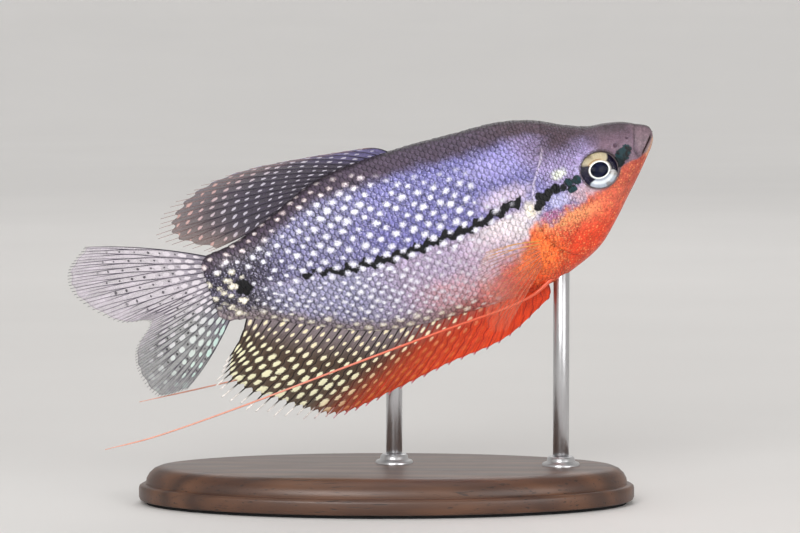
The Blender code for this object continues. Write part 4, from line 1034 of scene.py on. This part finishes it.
iris_look, tree, shader = finish("silver_iris", Specular_IOR_Level=0.15)
ground = layer(tree, "ground")
polar = node(tree, "Mapping", {"Vector": node(tree, "UVMap", uv_map="EyeMap").outputs[0],
                               "Scale": (60.0, 3.0, 1.0)}).outputs[0]
streaks = node(tree, "TexNoise", {"Vector": polar, "Scale": 1.0, "Detail": 3.0}).outputs["Fac"]
shaded = node(tree, "HueSaturation", {"Color": ground["Color"], "Value": plus(0.78, times(streaks, 0.44))})
feed(shader.inputs["Base Color"], shaded.outputs[0])
feed(shader.inputs["Roughness"], plus(0.2, times(streaks, 0.2)))
raise_by(tree, shader, streaks, 0.04, 0.6)

lens_look, tree, shader = finish("black_lens", Specular_IOR_Level=0.12)
depth = grain(tree, place(tree), 1.5, 1.0)
feed(shader.inputs["Base Color"], blend(depth, tone(5, 6, 14), tone(14, 18, 44)))
feed(shader.inputs["Roughness"], plus(0.04, times(depth, 0.05)))

cornea_look, tree, shader = finish("clear_cornea", Transmission_Weight=1.0, IOR=1.08, Roughness=0.0)
shader.inputs["Base Color"].default_value = (1.0, 1.0, 1.0, 1.0)
film = grain(tree, place(tree), 1.8, 1.0)
raise_by(tree, shader, film, 0.02, 0.15)

orbit_look, tree, shader = finish("orbit_fold", Coat_Weight=0.6, Coat_Roughness=0.1, Roughness=0.4)
mottle = grain(tree, place(tree), 0.4, 2.0)
feed(shader.inputs["Base Color"], blend(mottle, tone(48, 36, 40), tone(116, 98, 104)))
raise_by(tree, shader, mottle, 0.05, 0.6)


def iris_paint(radius, angle):
    """Silver, creamy above and bluish below, with a painted highlight low on the iris, a white ring round the
    pupil and two black patches.
    """
    up = np.sin(angle)
    colour = brushed(
        plain_tone((160, 156, 148), radius),
        (ease(up, 0.1, 0.9) * 0.8, (166, 152, 120)),
        (ease(up, -0.1, -0.8), (148, 155, 166)),
        (ease(np.sin(3 * angle + 4 * radius) * np.cos(5 * angle), 0.3, 0.9) * 0.6, (96, 80, 62)))
    inner = PUPIL_LONG / EYE_LONG
    # Painted highlight: a pale sheen across the lower part of the iris
    painted_sheen = ease(radius, 0.62, 0.7) * ease(radius, 0.84, 0.76) * ease(up, -0.3, -0.7) * 0.5
    colour = over(colour, painted_sheen, (226, 228, 228))
    arc = ease(np.abs(radius - inner - 0.15), 0.035, 0.015) * ease(np.abs(angle - 1.2), 1.0, 0.7)
    colour = over(colour, arc * 0.85, (128, 92, 52))
    offs = (angle + 0.06, angle - math.pi + 0.16)
    from_rear, from_front = (np.abs(np.arctan2(np.sin(off), np.cos(off))) for off in offs)
    rear = ease(from_rear + 0.1 * np.sin(9 * radius), 0.82, 0.68) * ease(radius, inner + 0.06, inner + 0.12)
    front = ease(from_front + 0.08 * np.sin(11 * radius), 0.66, 0.5) * ease(radius, inner + 0.1, inner + 0.18)
    dark = np.maximum(rear, front)
    colour = over(colour, dark * ease(radius, 1.0, 0.95), (18, 14, 34))
    colour = over(colour, ease(radius, inner + 0.08, inner + 0.055), (224, 224, 222))
    return over(colour, ease(radius, 0.93, 0.99) * 0.8, (92, 76, 68))


for side, flank in ((-1, "right"), (1, "left")):
    radius = np.linspace(PUPIL_LONG / EYE_LONG, 1.0, IRIS_RINGS)
    dish = -0.12 - 0.5 * radius**2 + 0.18 * np.exp(-(((radius - 0.5) / 0.07) ** 2))
    angle = circle(IRIS_TURNS)[None]
    inner_high = PUPIL_HIGH / PUPIL_LONG * EYE_LONG / EYE_HIGH
    squeeze = (inner_high + (1 - inner_high) * ease(radius, 0.42, 1.0))[:, None]
    colour = iris_paint(radius[:, None] + 0 * angle, angle + 0 * radius[:, None])
    face = eye_disc(side, radius, dish, EYE_LONG, EYE_HIGH)
    middle, back, up, outward = eye_frame(side)
    face = face - up * (((face - middle) @ up) * (1 - squeeze))[..., None]
    floor = eye_disc(side, radius[[-1, 0]], [IRIS_FLOOR, IRIS_FLOOR], EYE_LONG, EYE_HIGH)
    radii = np.append(radius, [1.0, 0.4])[:, None]
    ring_map = np.stack(np.broadcast_arrays(angle / (2 * math.pi), radii), -1)
    values = np.concatenate([colour, np.ones((*colour.shape[:2], 1))], -1)
    values = np.concatenate([values, np.repeat(values[-1:], 2, 0)])
    rings = np.concatenate([face, floor])
    last_to_first = np.array([[1, 1, 0, 0]]) * (len(rings) - 1) * IRIS_TURNS
    loop = np.concatenate([net(len(rings), IRIS_TURNS), net(2, IRIS_TURNS) % IRIS_TURNS + last_to_first])
    iris = make_piece(f"iris_{flank}", posed(rings), [loop], iris_look, {"EyeMap": ring_map},
                      {"ground": values})
    steps = np.linspace(0.04, 1.0, 14)
    dome = 0.02 + LENS_BULGE * np.sqrt(np.maximum(1 - steps**2, 0.0)) - 0.35
    rings = eye_disc(side, [*steps, 0.6], [*dome, LENS_FLOOR], PUPIL_LONG * 1.04, PUPIL_HIGH * 1.04)
    lens = make_piece(f"lens_{flank}", posed(rings), cap(len(rings), IRIS_TURNS), lens_look)
    steps = np.linspace(0.03, 1.0, 24)
    dome = CORNEA_BULGE * (1 - steps**2) - 0.42 * steps**4
    inner = dome - CORNEA_THICK
    rings = eye_disc(side, [*steps, *steps[::-1]], [*dome, *inner[::-1]], EYE_LONG * 0.99, EYE_HIGH * 0.99)
    cornea = make_piece(f"cornea_{flank}", posed(rings), cap(len(rings), IRIS_TURNS), cornea_look)
    cornea.visible_shadow = False
    turns = np.linspace(0.0, 2 * math.pi, ORBIT_SIDES + 1)[:-1]
    rings = eye_disc(side, 1.0 + 0.045 * np.cos(turns), -0.42 + 0.17 * np.sin(turns), EYE_LONG, EYE_HIGH)
    last_to_first = (net(2, IRIS_TURNS) + (ORBIT_SIDES - 1) * IRIS_TURNS) % (ORBIT_SIDES * IRIS_TURNS)
    loop = np.concatenate([net(ORBIT_SIDES, IRIS_TURNS), last_to_first])
    orbit = make_piece(f"orbit_{flank}", posed(rings), [loop], orbit_look)
    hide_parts(f"eye_{flank}")
    for part in (iris, lens, cornea, orbit):
        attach(part, "root")

# The fins. Each is a thin, clear skin stretched between soft bony rays, cast as one sheet. The rays run from
# the body to the edge, fork once or twice on the way, and are jointed like a cane. Spots lie in rows between
# them.
FIN_ROWS, RAY_POINTS, RAY_SIDES = 44, 36, 6
RAY_DEEP = 1.15  # a ray's depth, as a share of its width
FIN_LAYERS = ("web", "spots", "cells", "sizes")


def fin_at(fin, t, r):
    """Points of a fin: t runs from its first ray to its last and r from the root to the tips."""
    root, tip, bow = fin["edges"](np.asarray(t, float))
    r = np.asarray(r, float)[..., None]
    middle = (root + tip) / 2 + bow
    return root * (1 - r) ** 2 + middle * (2 * r * (1 - r)) + tip * r**2


def fin_frames(fin, t, r):
    """Points of a fin with the directions along the ray and out of the sheet."""
    here = fin_at(fin, t, r)
    along = fin_at(fin, t, np.asarray(r) + 0.01) - fin_at(fin, t, np.asarray(r) - 0.01)
    over_t = fin_at(fin, np.asarray(t) + 0.005, r) - fin_at(fin, np.asarray(t) - 0.005, r)
    along /= np.linalg.norm(along, axis=-1, keepdims=True)
    normal = np.cross(over_t, along)
    normal /= np.maximum(np.linalg.norm(normal, axis=-1, keepdims=True), 1e-9)
    return here, along, normal


def web_edge(fin, t):
    """How far out the sheet reaches at t, as a share of the rays' length, drawn in a little between rays."""
    between = np.sin(math.pi * t * (fin["rays"] - 1)) ** 2
    return fin["web"](t) - fin["scallop"] * between


def build_fin(name, fin, look, replaced, side=1):
    """Sheet and rays of a fin as one piece. Its map counts rays across and spots along."""
    count = (fin["rays"] - 1) * fin["between"] + 1
    t = np.linspace(0.0, 1.0, count)[:, None]
    r = web_edge(fin, t) * np.linspace(0.0, 1.0, FIN_ROWS)[None]
    here, _, normal = fin_frames(fin, t + 0 * r, r)
    ripple_out = fin["ripple"] * np.sin(math.pi * t * (fin["rays"] - 1)) ** 2 * ease(r, 0.1, 0.6)
    here = here + normal * ripple_out[..., None]
    half = (fin["thick"][0] + (fin["thick"][1] - fin["thick"][0]) * r)[..., None]
    sheet = np.stack([here + normal * half, here - normal * half])
    cells = net(count, FIN_ROWS, closed=False)
    back = cells[:, ::-1] + count * FIN_ROWS
    rim = np.concatenate([np.arange(FIN_ROWS), np.arange(1, count) * FIN_ROWS + FIN_ROWS - 1,
                          (count - 1) * FIN_ROWS + np.arange(FIN_ROWS - 2, -1, -1),
                          np.arange(count - 2, 0, -1) * FIN_ROWS])
    after = np.roll(rim, -1)
    wall = np.stack([after, rim, rim + count * FIN_ROWS, after + count * FIN_ROWS], -1)
    points, faces = [sheet.reshape(-1, 3)], [cells, back, wall]
    length = np.linalg.norm(fin_at(fin, t, 0 * t + 1.0) - fin_at(fin, t, 0 * t), axis=-1)
    flat = np.stack([t * (fin["rays"] - 1) + 0 * r, r * length], -1)
    maps = [np.stack([flat, flat]).reshape(-1, 2)]
    paints = {title: [np.stack([values, values]).reshape(-1, 4)] for title, values in
              zip(FIN_LAYERS, fin["paint"](t + 0 * r, r))}
    total = 2 * count * FIN_ROWS
    for number in range(fin["rays"]):
        at = number / (fin["rays"] - 1)
        for path_t, path_r, radius in fin["fork"](fin, at, number):
            spine, along, normal = fin_frames(fin, path_t, path_r)
            sidewise = np.cross(along, normal)
            turns = circle(RAY_SIDES)
            ring = np.cos(turns)[None, :, None] * normal[:, None] * RAY_DEEP
            ring = ring + np.sin(turns)[None, :, None] * sidewise[:, None]
            tube = (spine[:, None] + ring * radius[:, None, None]).reshape(-1, 3)
            points.append(np.concatenate([tube, spine[:1], spine[-1:] + along[-1:] * radius[-1]]))
            total_here = len(spine) * RAY_SIDES
            faces.append(net(len(spine), RAY_SIDES) + total)
            one, two = np.arange(RAY_SIDES), (np.arange(RAY_SIDES) + 1) % RAY_SIDES
            ends = [np.stack([one, two, 0 * one + total_here], -1)[:, ::-1],
                    np.stack([one + total_here - RAY_SIDES, two + total_here - RAY_SIDES,
                              0 * one + total_here + 1], -1)]
            faces.append(np.concatenate(ends)[:, ::-1] + total)
            ray = fin["ray_paint"](path_t, path_r)
            far = np.linalg.norm(np.diff(spine, axis=0), axis=-1)
            far = np.concatenate([[0.0], np.cumsum(far)])
            spread = np.repeat(ray, RAY_SIDES, 0)
            paints["web"].append(np.concatenate([spread, ray[:1], ray[-1:]]))
            for title in FIN_LAYERS[1:]:
                paints[title].append(np.zeros((len(spread) + 2, 4)))
            line = np.stack([np.full(len(spine), float(number)), far], -1)
            maps.append(np.concatenate([np.repeat(line, RAY_SIDES, 0), line[:1], line[-1:]]))
            total += total_here + 2
    points = np.concatenate(points)
    points[:, 1] *= side
    quads = np.concatenate([some for some in faces if some.shape[1] == 4])
    triangles = np.concatenate([some for some in faces if some.shape[1] == 3])
    made = make_piece(name, posed(points), [quads, triangles], look, {"FinMap": np.concatenate(maps)},
                      {key: np.concatenate(values) for key, values in paints.items()})
    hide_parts(replaced)
    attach(made, "root")
    return made


def forked_ray(forks, spread, thick, weave=0.0, spacing=1.0):
    """Rays that fork at shares of their length. spread and weave, their sway between the spots, are in ray
    spacings, and thick runs from root to tip."""
    def paths(fin, at, number):
        made = []
        end = float(fin["ends"](np.array([at]), number)[0])
        length = float(np.linalg.norm(fin_at(fin, np.array([at]), 1.0) - fin_at(fin, np.array([at]), 0.0)))
        for lane in range(2 ** len(forks)):
            r = np.linspace(0.0, end, RAY_POINTS)
            sway = np.cos(2 * math.pi * r * length / spacing + math.pi * number)
            shift = weave * sway * ease(r, 0.15, 0.4) * ease(r, 0.84, 0.55)
            for level, fork in enumerate(forks):
                sign = 1 if (lane >> level) & 1 else -1
                shift = shift + sign * spread / 2**level * ease(r / end, fork, fork + 0.3)
            # Twigs that share the stem start at their own fork
            first = int(np.searchsorted(r / end, forks[int(math.log2(lane))])) - 1 if lane else 0
            t = np.clip(at + shift / (fin["rays"] - 1), 0.0, 1.0)
            radius = thick[0] + (thick[1] - thick[0]) * (r / end) ** 0.7
            made.append((t[first:], r[first:], radius[first:]))
        return made
    return paths


def fin_sizes(spot, cell=1.0):
    """The layer that holds how large spots and cells are, as shares of their full sizes."""
    spot, cell = np.broadcast_arrays(spot, cell)
    return np.stack([spot, cell, 0 * spot, 0 * spot + 1.0], -1)


# Rows of spots: in each space between two rays, long spots at even distances, set half a step off in the next
ray_spots, given, out = group(
    "ray_spots", (("Map", "Vector", None), ("Spacing", "Float", 2.2), ("Length", "Float", 0.3),
                  ("Width", "Float", 0.3), ("Ragged", "Float", 0.2), ("Shift", "Float", 0.0),
                  ("Size", "Float", 1.0)),
    (("Mask", "Float"),))
parts = node(ray_spots, "SeparateXYZ", {0: given["Map"]}).outputs
lane = reckon("FLOOR", parts[0])
across = minus(minus(parts[0], lane), 0.5)
wobble = node(ray_spots, "TexNoise", {"Vector": given["Map"], "Scale": 3.0, "Detail": 2.0}).outputs["Fac"]
wobble = times(minus(wobble, 0.5), given["Ragged"])
along = plus(reckon("DIVIDE", parts[1], given["Spacing"]), plus(given["Shift"], times(lane, 0.5)))
step = reckon("FLOOR", along)
lots = node(ray_spots, "TexWhiteNoise", {0: node(ray_spots, "CombineXYZ", {0: lane, 1: step}).outputs[0]},
            noise_dimensions="2D").outputs
lot = lots["Value"]
sway = times(minus(node(ray_spots, "SeparateColor", {0: lots["Color"]}).outputs[1], 0.5), 0.24)
along = minus(minus(along, step), plus(0.5, sway))
size = times(given["Size"], plus(0.72, times(lot, 0.5)))
lengthwise = reckon("POWER", reckon("DIVIDE", along, given["Length"]), 2.0)
widthwise = reckon("POWER", reckon("DIVIDE", across, given["Width"]), 2.0)
far = reckon("SQRT", plus(lengthwise, widthwise))
far = plus(reckon("DIVIDE", far, reckon("MAXIMUM", size, 0.05)), wobble)
feed(out["Mask"], span(far, 1.15, 0.8))


def fin_look(name, spacing, spot, cell=(0.3, 0.3), roughness=0.35, ragged=0.9):
    """A fin's finish: the sheet's own colour and clearness, with spots and paler cells between them and fine
    veins. spot and cell hold length in spacings and width in spaces between rays, halved."""
    made, tree, shader = finish(name, Specular_IOR_Level=0.25, Coat_Weight=0.1, Coat_Roughness=0.15)
    web, spots, cells, sizes = (layer(tree, title) for title in FIN_LAYERS)
    flat = node(tree, "UVMap", uv_map="FinMap").outputs[0]
    size = node(tree, "SeparateColor", {0: sizes["Color"]}).outputs
    shared = {"Map": flat, "Spacing": spacing, "Ragged": ragged}
    oval = {**shared, "Length": spot[0], "Width": spot[1], "Size": size[0]}
    spot_mask = times(use_group(tree, ray_spots, oval)["Mask"], spots["Alpha"])
    oval = {**shared, "Length": cell[0], "Width": cell[1], "Size": size[1], "Shift": 0.5}
    cell_mask = times(use_group(tree, ray_spots, oval)["Mask"], cells["Alpha"])
    fine = node(tree, "Mapping", {"Vector": flat, "Scale": (3.6, 0.3, 1.0)}).outputs[0]
    veins = node(tree, "TexNoise", {"Vector": fine, "Scale": 1.0, "Detail": 3.0}).outputs["Fac"]
    freckle = grain(tree, place(tree), 0.18, 2.0)
    value = plus(-0.3, times(plus(veins, freckle), 1.3))
    tint = node(tree, "HueSaturation", {"Color": web["Color"], "Value": value}).outputs[0]
    tint = blend(cell_mask, tint, cells["Color"])
    feed(shader.inputs["Base Color"], blend(spot_mask, tint, spots["Color"]))
    thin = times(web["Alpha"], plus(0.78, times(veins, 0.5)))
    thin = reckon("MAXIMUM", thin, times(reckon("MAXIMUM", spot_mask, cell_mask), 0.92))
    feed(shader.inputs["Alpha"], thin)
    feed(shader.inputs["Roughness"], plus(roughness, times(veins, 0.2)))
    raise_by(tree, shader, plus(veins, spot_mask), 0.05, 0.6)
    return made


# The dorsal fin: smoky grey violet and half clear, set in the rear half of the back, with five rows of small
# spots that turn from white to orange pink towards its long rear tips.
DORSAL_RAYS, DORSAL_FROM, DORSAL_TO, DORSAL_LEAN = 15, 46.7, 69.0, 0.5
DORSAL_TIPS = ((51.5, 14.9), (62.8, 16.9), (75.0, 18.4), (85.0, 17.7), (91.6, 14.6), (92.4, 10.6),
               (84.8, 6.1))
ROOT_IN = 0.9  # how far fin roots sit inside the skin


def dorsal_edges(t):
    s = DORSAL_FROM + (DORSAL_TO - DORSAL_FROM) * t
    tips = through(DORSAL_TIPS, even(DORSAL_TIPS), np.clip(t, 0, 1))
    root = np.stack([-s, 0 * s, section(s)[0] - ROOT_IN], -1)
    tip = np.stack([-tips[..., 0], DORSAL_LEAN * t, tips[..., 1]], -1)
    return root, tip, np.stack([0.6 + 0 * s, 0 * s, 0.9 - 1.7 * ease(t, 0.7, 1.0)], -1)


def dorsal_paint(t, r):
    colour = brushed(
        plain_tone((62, 54, 70), t),
        (ease(r, 0.45, 0.95), (98, 85, 94)),
        (ease(t, 0.35, 0.05) * 0.7, (104, 98, 146)),
        (ease(t, 0.5, 1.0) * ease(r, 0.4, 1.0) * 0.5, (150, 122, 108)),
        (ease(r, 0.9, 0.99) * ease(t, 0.75, 0.45) * 0.6, (150, 150, 206)))
    clear = 0.78 - 0.26 * ease(r, 0.4, 1.0) + 0.15 * ease(t, 0.4, 0.0)
    spots = over(plain_tone((222, 216, 230), t), ease(r, 0.5, 0.85) * ease(t, 0.2, 0.5) * 0.9,
                 (228, 176, 164))
    amount = ease(r, 0.05, 0.12) * ease(r, 0.97, 0.86) * (0.78 - 0.4 * ease(t, 0.3, 0.0))
    sizes = fin_sizes(0.8 + 0.2 * ease(r, 0.2, 0.6), 0.0)
    return with_fourth(colour, clear), with_fourth(spots, amount), with_fourth(0 * colour, 0.0), sizes


def dorsal_ray_paint(t, r):
    colour = over(plain_tone((40, 34, 48), t), ease(r, 0.6, 0.97), (168, 138, 132))
    return with_fourth(colour, 0.9 - 0.35 * ease(r, 0.6, 1.0))


dorsal = {
    "rays": DORSAL_RAYS, "between": 8, "edges": dorsal_edges, "scallop": 0.03, "ripple": 0.06,
    "web": lambda t: 0.97 - 0.07 * ease(2 * t - 0.5), "thick": (0.16, 0.05), "paint": dorsal_paint,
    "ray_paint": dorsal_ray_paint, "ends": lambda t, number: 0.985 + 0.012 * np.sin(2.4 * number) + 0 * t,
    "fork": forked_ray((0.55,), 0.22, (0.24, 0.05))}
smoky_look = fin_look("smoky_fin", 2.2, (0.18, 0.2), ragged=1.5)
build_fin("dorsal_fin", dorsal, smoky_look, "fin_dorsal")

# The anal fin: the longest fin, from the breast to the tail. Its front is plain orange red with a pale edge,
# and it goes over to a dark rear with rows of long cream spots and a fringe of white free ray tips.
ANAL_RAYS, ANAL_FROM, ANAL_TO = 38, 27.4, 81.6
ANAL_SPACING = 2.6  # from spot to spot along a ray
ANAL_TIPS = ((28.3, -22.7), (38.6, -27.3), (50.4, -28.4), (62.0, -30.0), (72.2, -30.9), (80.2, -28.2),
             (87.6, -24.2), (92.0, -18.6), (88.4, -14.2))


def anal_edges(t):
    s = ANAL_FROM + (ANAL_TO - ANAL_FROM) * t
    tips = through(ANAL_TIPS, even(ANAL_TIPS), np.clip(t, 0, 1))
    root = np.stack([-s, 0 * s, section(s)[1] + ROOT_IN], -1)
    tip = np.stack([-tips[..., 0], 0 * s, tips[..., 1]], -1)
    return root, tip, np.array([1.0, 0.0, -0.8])


def anal_rear(t, r):
    """From 0 in the plain orange front to 1 in the dark spotted rear."""
    return ease(t + 0.16 * (1.0 - r), 0.46, 0.66)


def anal_paint(t, r):
    rear = anal_rear(t, r)
    colour = brushed(
        plain_tone((206, 58, 16), t),
        (ease(t, 0.15, 0.5) * 0.8, (146, 60, 22)),
        (ease(r, 0.4, 0.0) * ease(t, 0.1, 0.3) * 0.75, (124, 88, 82)),
        (rear, (76, 59, 46)),
        (rear * ease(r, 0.4, 0.0) * 0.85, (136, 124, 130)),
        (rear * ease(r, 0.6, 0.95) * 0.4, (98, 88, 74)),
        (ease(r, 0.925, 0.945) * ease(t, 0.6, 0.3) * 0.6, (222, 200, 226)))
    clear = 1.0 - 0.06 * ease(r, 0.5, 1.0) - 0.12 * rear * ease(r, 0.4, 1.0)
    spots = over(plain_tone((236, 148, 70), t), rear, (234, 230, 194))
    spots = over(spots, rear * ease(r, 0.4, 0.1) * 0.7, (240, 234, 222))
    at_base = ease(r, 0.5, 0.15) * ease(t, 0.16, 0.3)
    spots = over(spots, at_base, (236, 224, 190))
    amount = np.clip(0.22 + 0.8 * rear + 0.7 * at_base, 0.0, 1.0) * ease(t, 0.12, 0.3) * ease(r, 0.93, 0.86)
    sizes = fin_sizes(0.62 + 0.38 * ease(r, 0.2, 0.8) * ease(t, 0.4, 0.7), 0.0)
    return with_fourth(colour, clear), with_fourth(spots, amount), with_fourth(0 * colour, 0.0), sizes


def anal_ray_paint(t, r):
    rear = anal_rear(t, r)
    colour = over(plain_tone((166, 34, 14), t), rear, (24, 18, 18))
    colour = over(colour, rear * ease(r, 0.85, 0.9), (240, 234, 228))
    return with_fourth(over(colour, (1 - rear) * ease(r, 0.93, 1.0) * 0.7, (228, 210, 228)), 0.97)


def anal_ends(t, number):
    return 0.975 + 0.022 * np.sin(2.1 * number) * ease(t, 0.4, 0.6) + 0.01 * ease(t, 0.3, 0.0)


anal = {
    "rays": ANAL_RAYS, "between": 6, "edges": anal_edges, "scallop": 0.035, "ripple": 0.1,
    "web": lambda t: 0.95 - 0.13 * ease(t, 0.5, 0.75), "thick": (0.2, 0.06), "paint": anal_paint,
    "ray_paint": anal_ray_paint, "ends": anal_ends,
    "fork": forked_ray((0.86,), 0.05, (0.26, 0.12), 0.15, ANAL_SPACING)}
anal_look = fin_look("anal_skin", ANAL_SPACING, (0.35, 0.36), ragged=1.2)
build_fin("anal_fin", anal, anal_look, "fin_anal")

# The tail fin: clear and pale, slightly forked, with thin dark rays that fork twice, rows of small dark
# spots, pale spots near its root and in its lower lobe, and dark dots on the ray tips.
TAIL_RAYS, TAIL_ROOT, TAIL_ROOT_TOP, TAIL_ROOT_LOW = 18, 85.0, 5.2, -6.9
TAIL_TIPS = ((106.3, 14.5), (110.9, 11.0), (110.8, 5.7), (105.2, -0.7), (99.6, -2.7), (103.6, -6.6),
             (104.6, -11.0), (102.6, -16.2), (97.0, -16.7))
TAIL_SPREAD, TAIL_WAVE = 1.6, 0.9


def tail_edges(t):
    tips = through(TAIL_TIPS, even(TAIL_TIPS), np.clip(t, 0, 1))
    root_h = TAIL_ROOT_TOP + (TAIL_ROOT_LOW - TAIL_ROOT_TOP) * t
    root = np.stack([0 * t - TAIL_ROOT, 0 * t, root_h], -1)
    tip = np.stack([-tips[..., 0], TAIL_WAVE * np.sin(math.pi * (2 * t - 0.5)), tips[..., 1]], -1)
    return root, tip, np.stack([0 * t, 0 * t, TAIL_SPREAD * (1 - 2 * t)], -1)


def tail_paint(t, r):
    colour = over(plain_tone((206, 196, 208), t), ease(t, 0.45, 0.7) * 0.9, (136, 139, 138))
    colour = over(colour, ease(r, 0.4, 0.05) * 0.75, (112, 106, 122))
    clear = 0.36 + 0.4 * ease(r, 0.45, 0.0) + 0.16 * ease(t, 0.5, 0.8)
    pale = over(plain_tone((236, 228, 236), t), ease(t, 0.6, 0.9), (214, 226, 220))
    pale = over(pale, ease(t, 0.86, 0.98) * 0.7, (200, 234, 224))
    shown = 0.3 + 0.6 * np.maximum(ease(r, 0.55, 0.2), ease(t, 0.5, 0.8) * ease(r, 0.95, 0.6))
    dots = 0.9 * ease(r, 0.18, 0.28) * ease(r, 0.86, 0.7)
    return (with_fourth(colour, clear), with_fourth(plain_tone((34, 30, 40), t), dots),
            with_fourth(pale, shown * ease(r, 0.04, 0.1)),
            fin_sizes(1.0 + 0 * t, 0.8 + 0.3 * ease(r, 0.6, 0.2)))


def tail_ray_paint(t, r):
    colour = over(plain_tone((42, 36, 52), t), ease(r, 0.3, 0.9) * 0.45, (98, 88, 104))
    colour = over(colour, ease(r, 0.965, 0.98), (26, 22, 30))
    return with_fourth(colour, 0.92)


tail_fin = {
    "rays": TAIL_RAYS, "between": 8, "edges": tail_edges, "scallop": 0.012, "ripple": 0.05,
    "web": lambda t: 0.965 + 0 * t, "thick": (0.16, 0.045), "paint": tail_paint, "ray_paint": tail_ray_paint,
    "ends": lambda t, number: 0.985 + 0 * t, "fork": forked_ray((0.3, 0.58), 0.25, (0.2, 0.045))}
clear_look = fin_look("clear_fin", 2.5, (0.085, 0.13), (0.3, 0.34))
build_fin("tail_fin", tail_fin, clear_look, "fin_tail")

# The pectoral fins: one on each side behind the gill cover, a fan of glass-clear skin that stands off the
# body. Its fine rays are golden above and reddish below.
PECTORAL_RAYS, PECTORAL_AT = 10, ((25.9, -11.7), (27.2, -15.7))
PECTORAL_TIPS = ((36.4, -9.7, 12.6), (39.2, -12.6, 13.6), (39.6, -17.4, 13.6), (40.5, -23.4, 12.4),
                 (37.6, -24.9, 11.2))


def side_of_body(s, h):
    back, belly, _, middle = section(s)
    up = np.where(h >= middle, (h - middle) / (back - middle), (h - middle) / (middle - belly))
    return body_at(s, np.arccos(np.clip(up, -1, 1)))[..., 1]


def pectoral_edges(t):
    (top_s, top_h), (low_s, low_h) = PECTORAL_AT
    s, h = top_s + (low_s - top_s) * t, top_h + (low_h - top_h) * t
    root = np.stack([0.3 - s, side_of_body(s, h) - 0.5, h], -1)
    tips = through(PECTORAL_TIPS, even(PECTORAL_TIPS), np.clip(t, 0, 1))
    tip = np.stack([-tips[..., 0], tips[..., 2], tips[..., 1]], -1)
    return root, tip, np.stack([0 * t, 0 * t + 0.9, 1.0 - 0.8 * t], -1)


def pectoral_paint(t, r):
    colour = over(plain_tone((244, 214, 190), t), ease(t, 0.3, 0.9), (226, 120, 92))
    clear = 0.03 + 0.1 * ease(t, 0.3, 0.9) * ease(r, 0.1, 0.4) * ease(r, 1.0, 0.6)
    nothing = with_fourth(0 * colour, 0.0)
    return with_fourth(colour, clear), nothing, nothing, nothing


def pectoral_ray_paint(t, r):
    colour = over(plain_tone((236, 178, 96), t), ease(t, 0.05, 0.35), (214, 128, 100))
    return with_fourth(colour, 0.6 - 0.25 * ease(t, 0.05, 0.2) - 0.15 * ease(r, 0.3, 1.0))


pectoral = {
    "rays": PECTORAL_RAYS, "between": 8, "edges": pectoral_edges, "scallop": 0.012, "ripple": 0.05,
    "web": lambda t: 0.97 + 0 * t, "thick": (0.12, 0.04), "paint": pectoral_paint,
    "ray_paint": pectoral_ray_paint, "ends": lambda t, number: 0.98 + 0 * t,
    "fork": forked_ray((0.4, 0.65), 0.24, (0.17, 0.035))}
pectoral_look = fin_look("glassy_fin", 3.0, (0.1, 0.1))
build_fin("pectoral_fin_right", pectoral, pectoral_look, "fin_pectoral_right", -1)
build_fin("pectoral_fin_left", pectoral, pectoral_look, "fin_pectoral_left", 1)

# The feelers: each pelvic fin is one long soft ray, a jointed thread of flesh that the fish touches things
# with. It leaves the breast just before the anal fin and trails along below the body, salmon orange, paler to
# its tip.
FEELER_ROOT = (25.6, -18.9, 1.25)
FEELER_NEAR = ((33.0, -21.2, 2.4), (50.8, -21.5, 4.2), (67.6, -21.9, 5.0), (86.4, -22.5, 5.3),
               (104.0, -22.7, 5.0), (114.5, -22.0, 4.2))
FEELER_FAR = ((33.0, -21.4, 2.9), (45.0, -21.7, 5.3), (60.0, -21.2, 6.5), (76.0, -19.8, 6.7),
              (92.0, -18.2, 6.0), (106.5, -16.5, 5.0))
FEELER_POINTS, FEELER_SIDES = 260, 12
feeler_look, tree, shader = finish("feeler_skin", Coat_Weight=0.4, Coat_Roughness=0.15)
ground = layer(tree, "ground")
fleck = grain(tree, place(tree), 0.3, 2.0)
shaded = node(tree, "HueSaturation", {"Color": ground["Color"], "Value": plus(0.75, times(fleck, 0.5))})
feed(shader.inputs["Base Color"], shaded.outputs[0])
feed(shader.inputs["Roughness"], plus(0.3, times(fleck, 0.2)))
raise_by(tree, shader, fleck, 0.04, 0.6)
for side, flank, route in ((-1, "right", FEELER_NEAR), (1, "left", FEELER_FAR)):
    knots = np.array([FEELER_ROOT, *route])
    share = np.linspace(0.0, 1.0, FEELER_POINTS)
    s, h, y = through(knots, even(knots), share).T
    spine = np.stack([-s, side * y, h], -1)
    along = np.gradient(spine, axis=0)
    along /= np.linalg.norm(along, axis=1, keepdims=True)
    sidewise = np.cross(along, [0.0, 0.0, 1.0])
    sidewise /= np.linalg.norm(sidewise, axis=1, keepdims=True)
    upward = np.cross(sidewise, along)
    radius = 0.13 + 0.1 * ease(share, 1.0, 0.2) + 0.2 * ease(share, 0.22, 0.0) - 0.07 * ease(share, 0.9, 1.0)
    radius = radius * (1 + 0.05 * np.sin(share * 620.0))
    turns = circle(FEELER_SIDES)
    ring = np.cos(turns)[None, :, None] * sidewise[:, None] + np.sin(turns)[None, :, None] * upward[:, None]
    tube = spine[:, None] + ring * radius[:, None, None]
    colour = over(plain_tone((226, 92, 58), share), ease(share, 0.25, 0.8), (232, 162, 140))
    values = with_fourth(np.repeat(colour[:, None], FEELER_SIDES, 1), 1.0)
    feeler = make_piece(f"feeler_skin_{flank}", posed(tube), cap(FEELER_POINTS, FEELER_SIDES), feeler_look,
                        None, {"ground": values})
    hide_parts(f"feeler_{flank}")
    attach(feeler, "root")
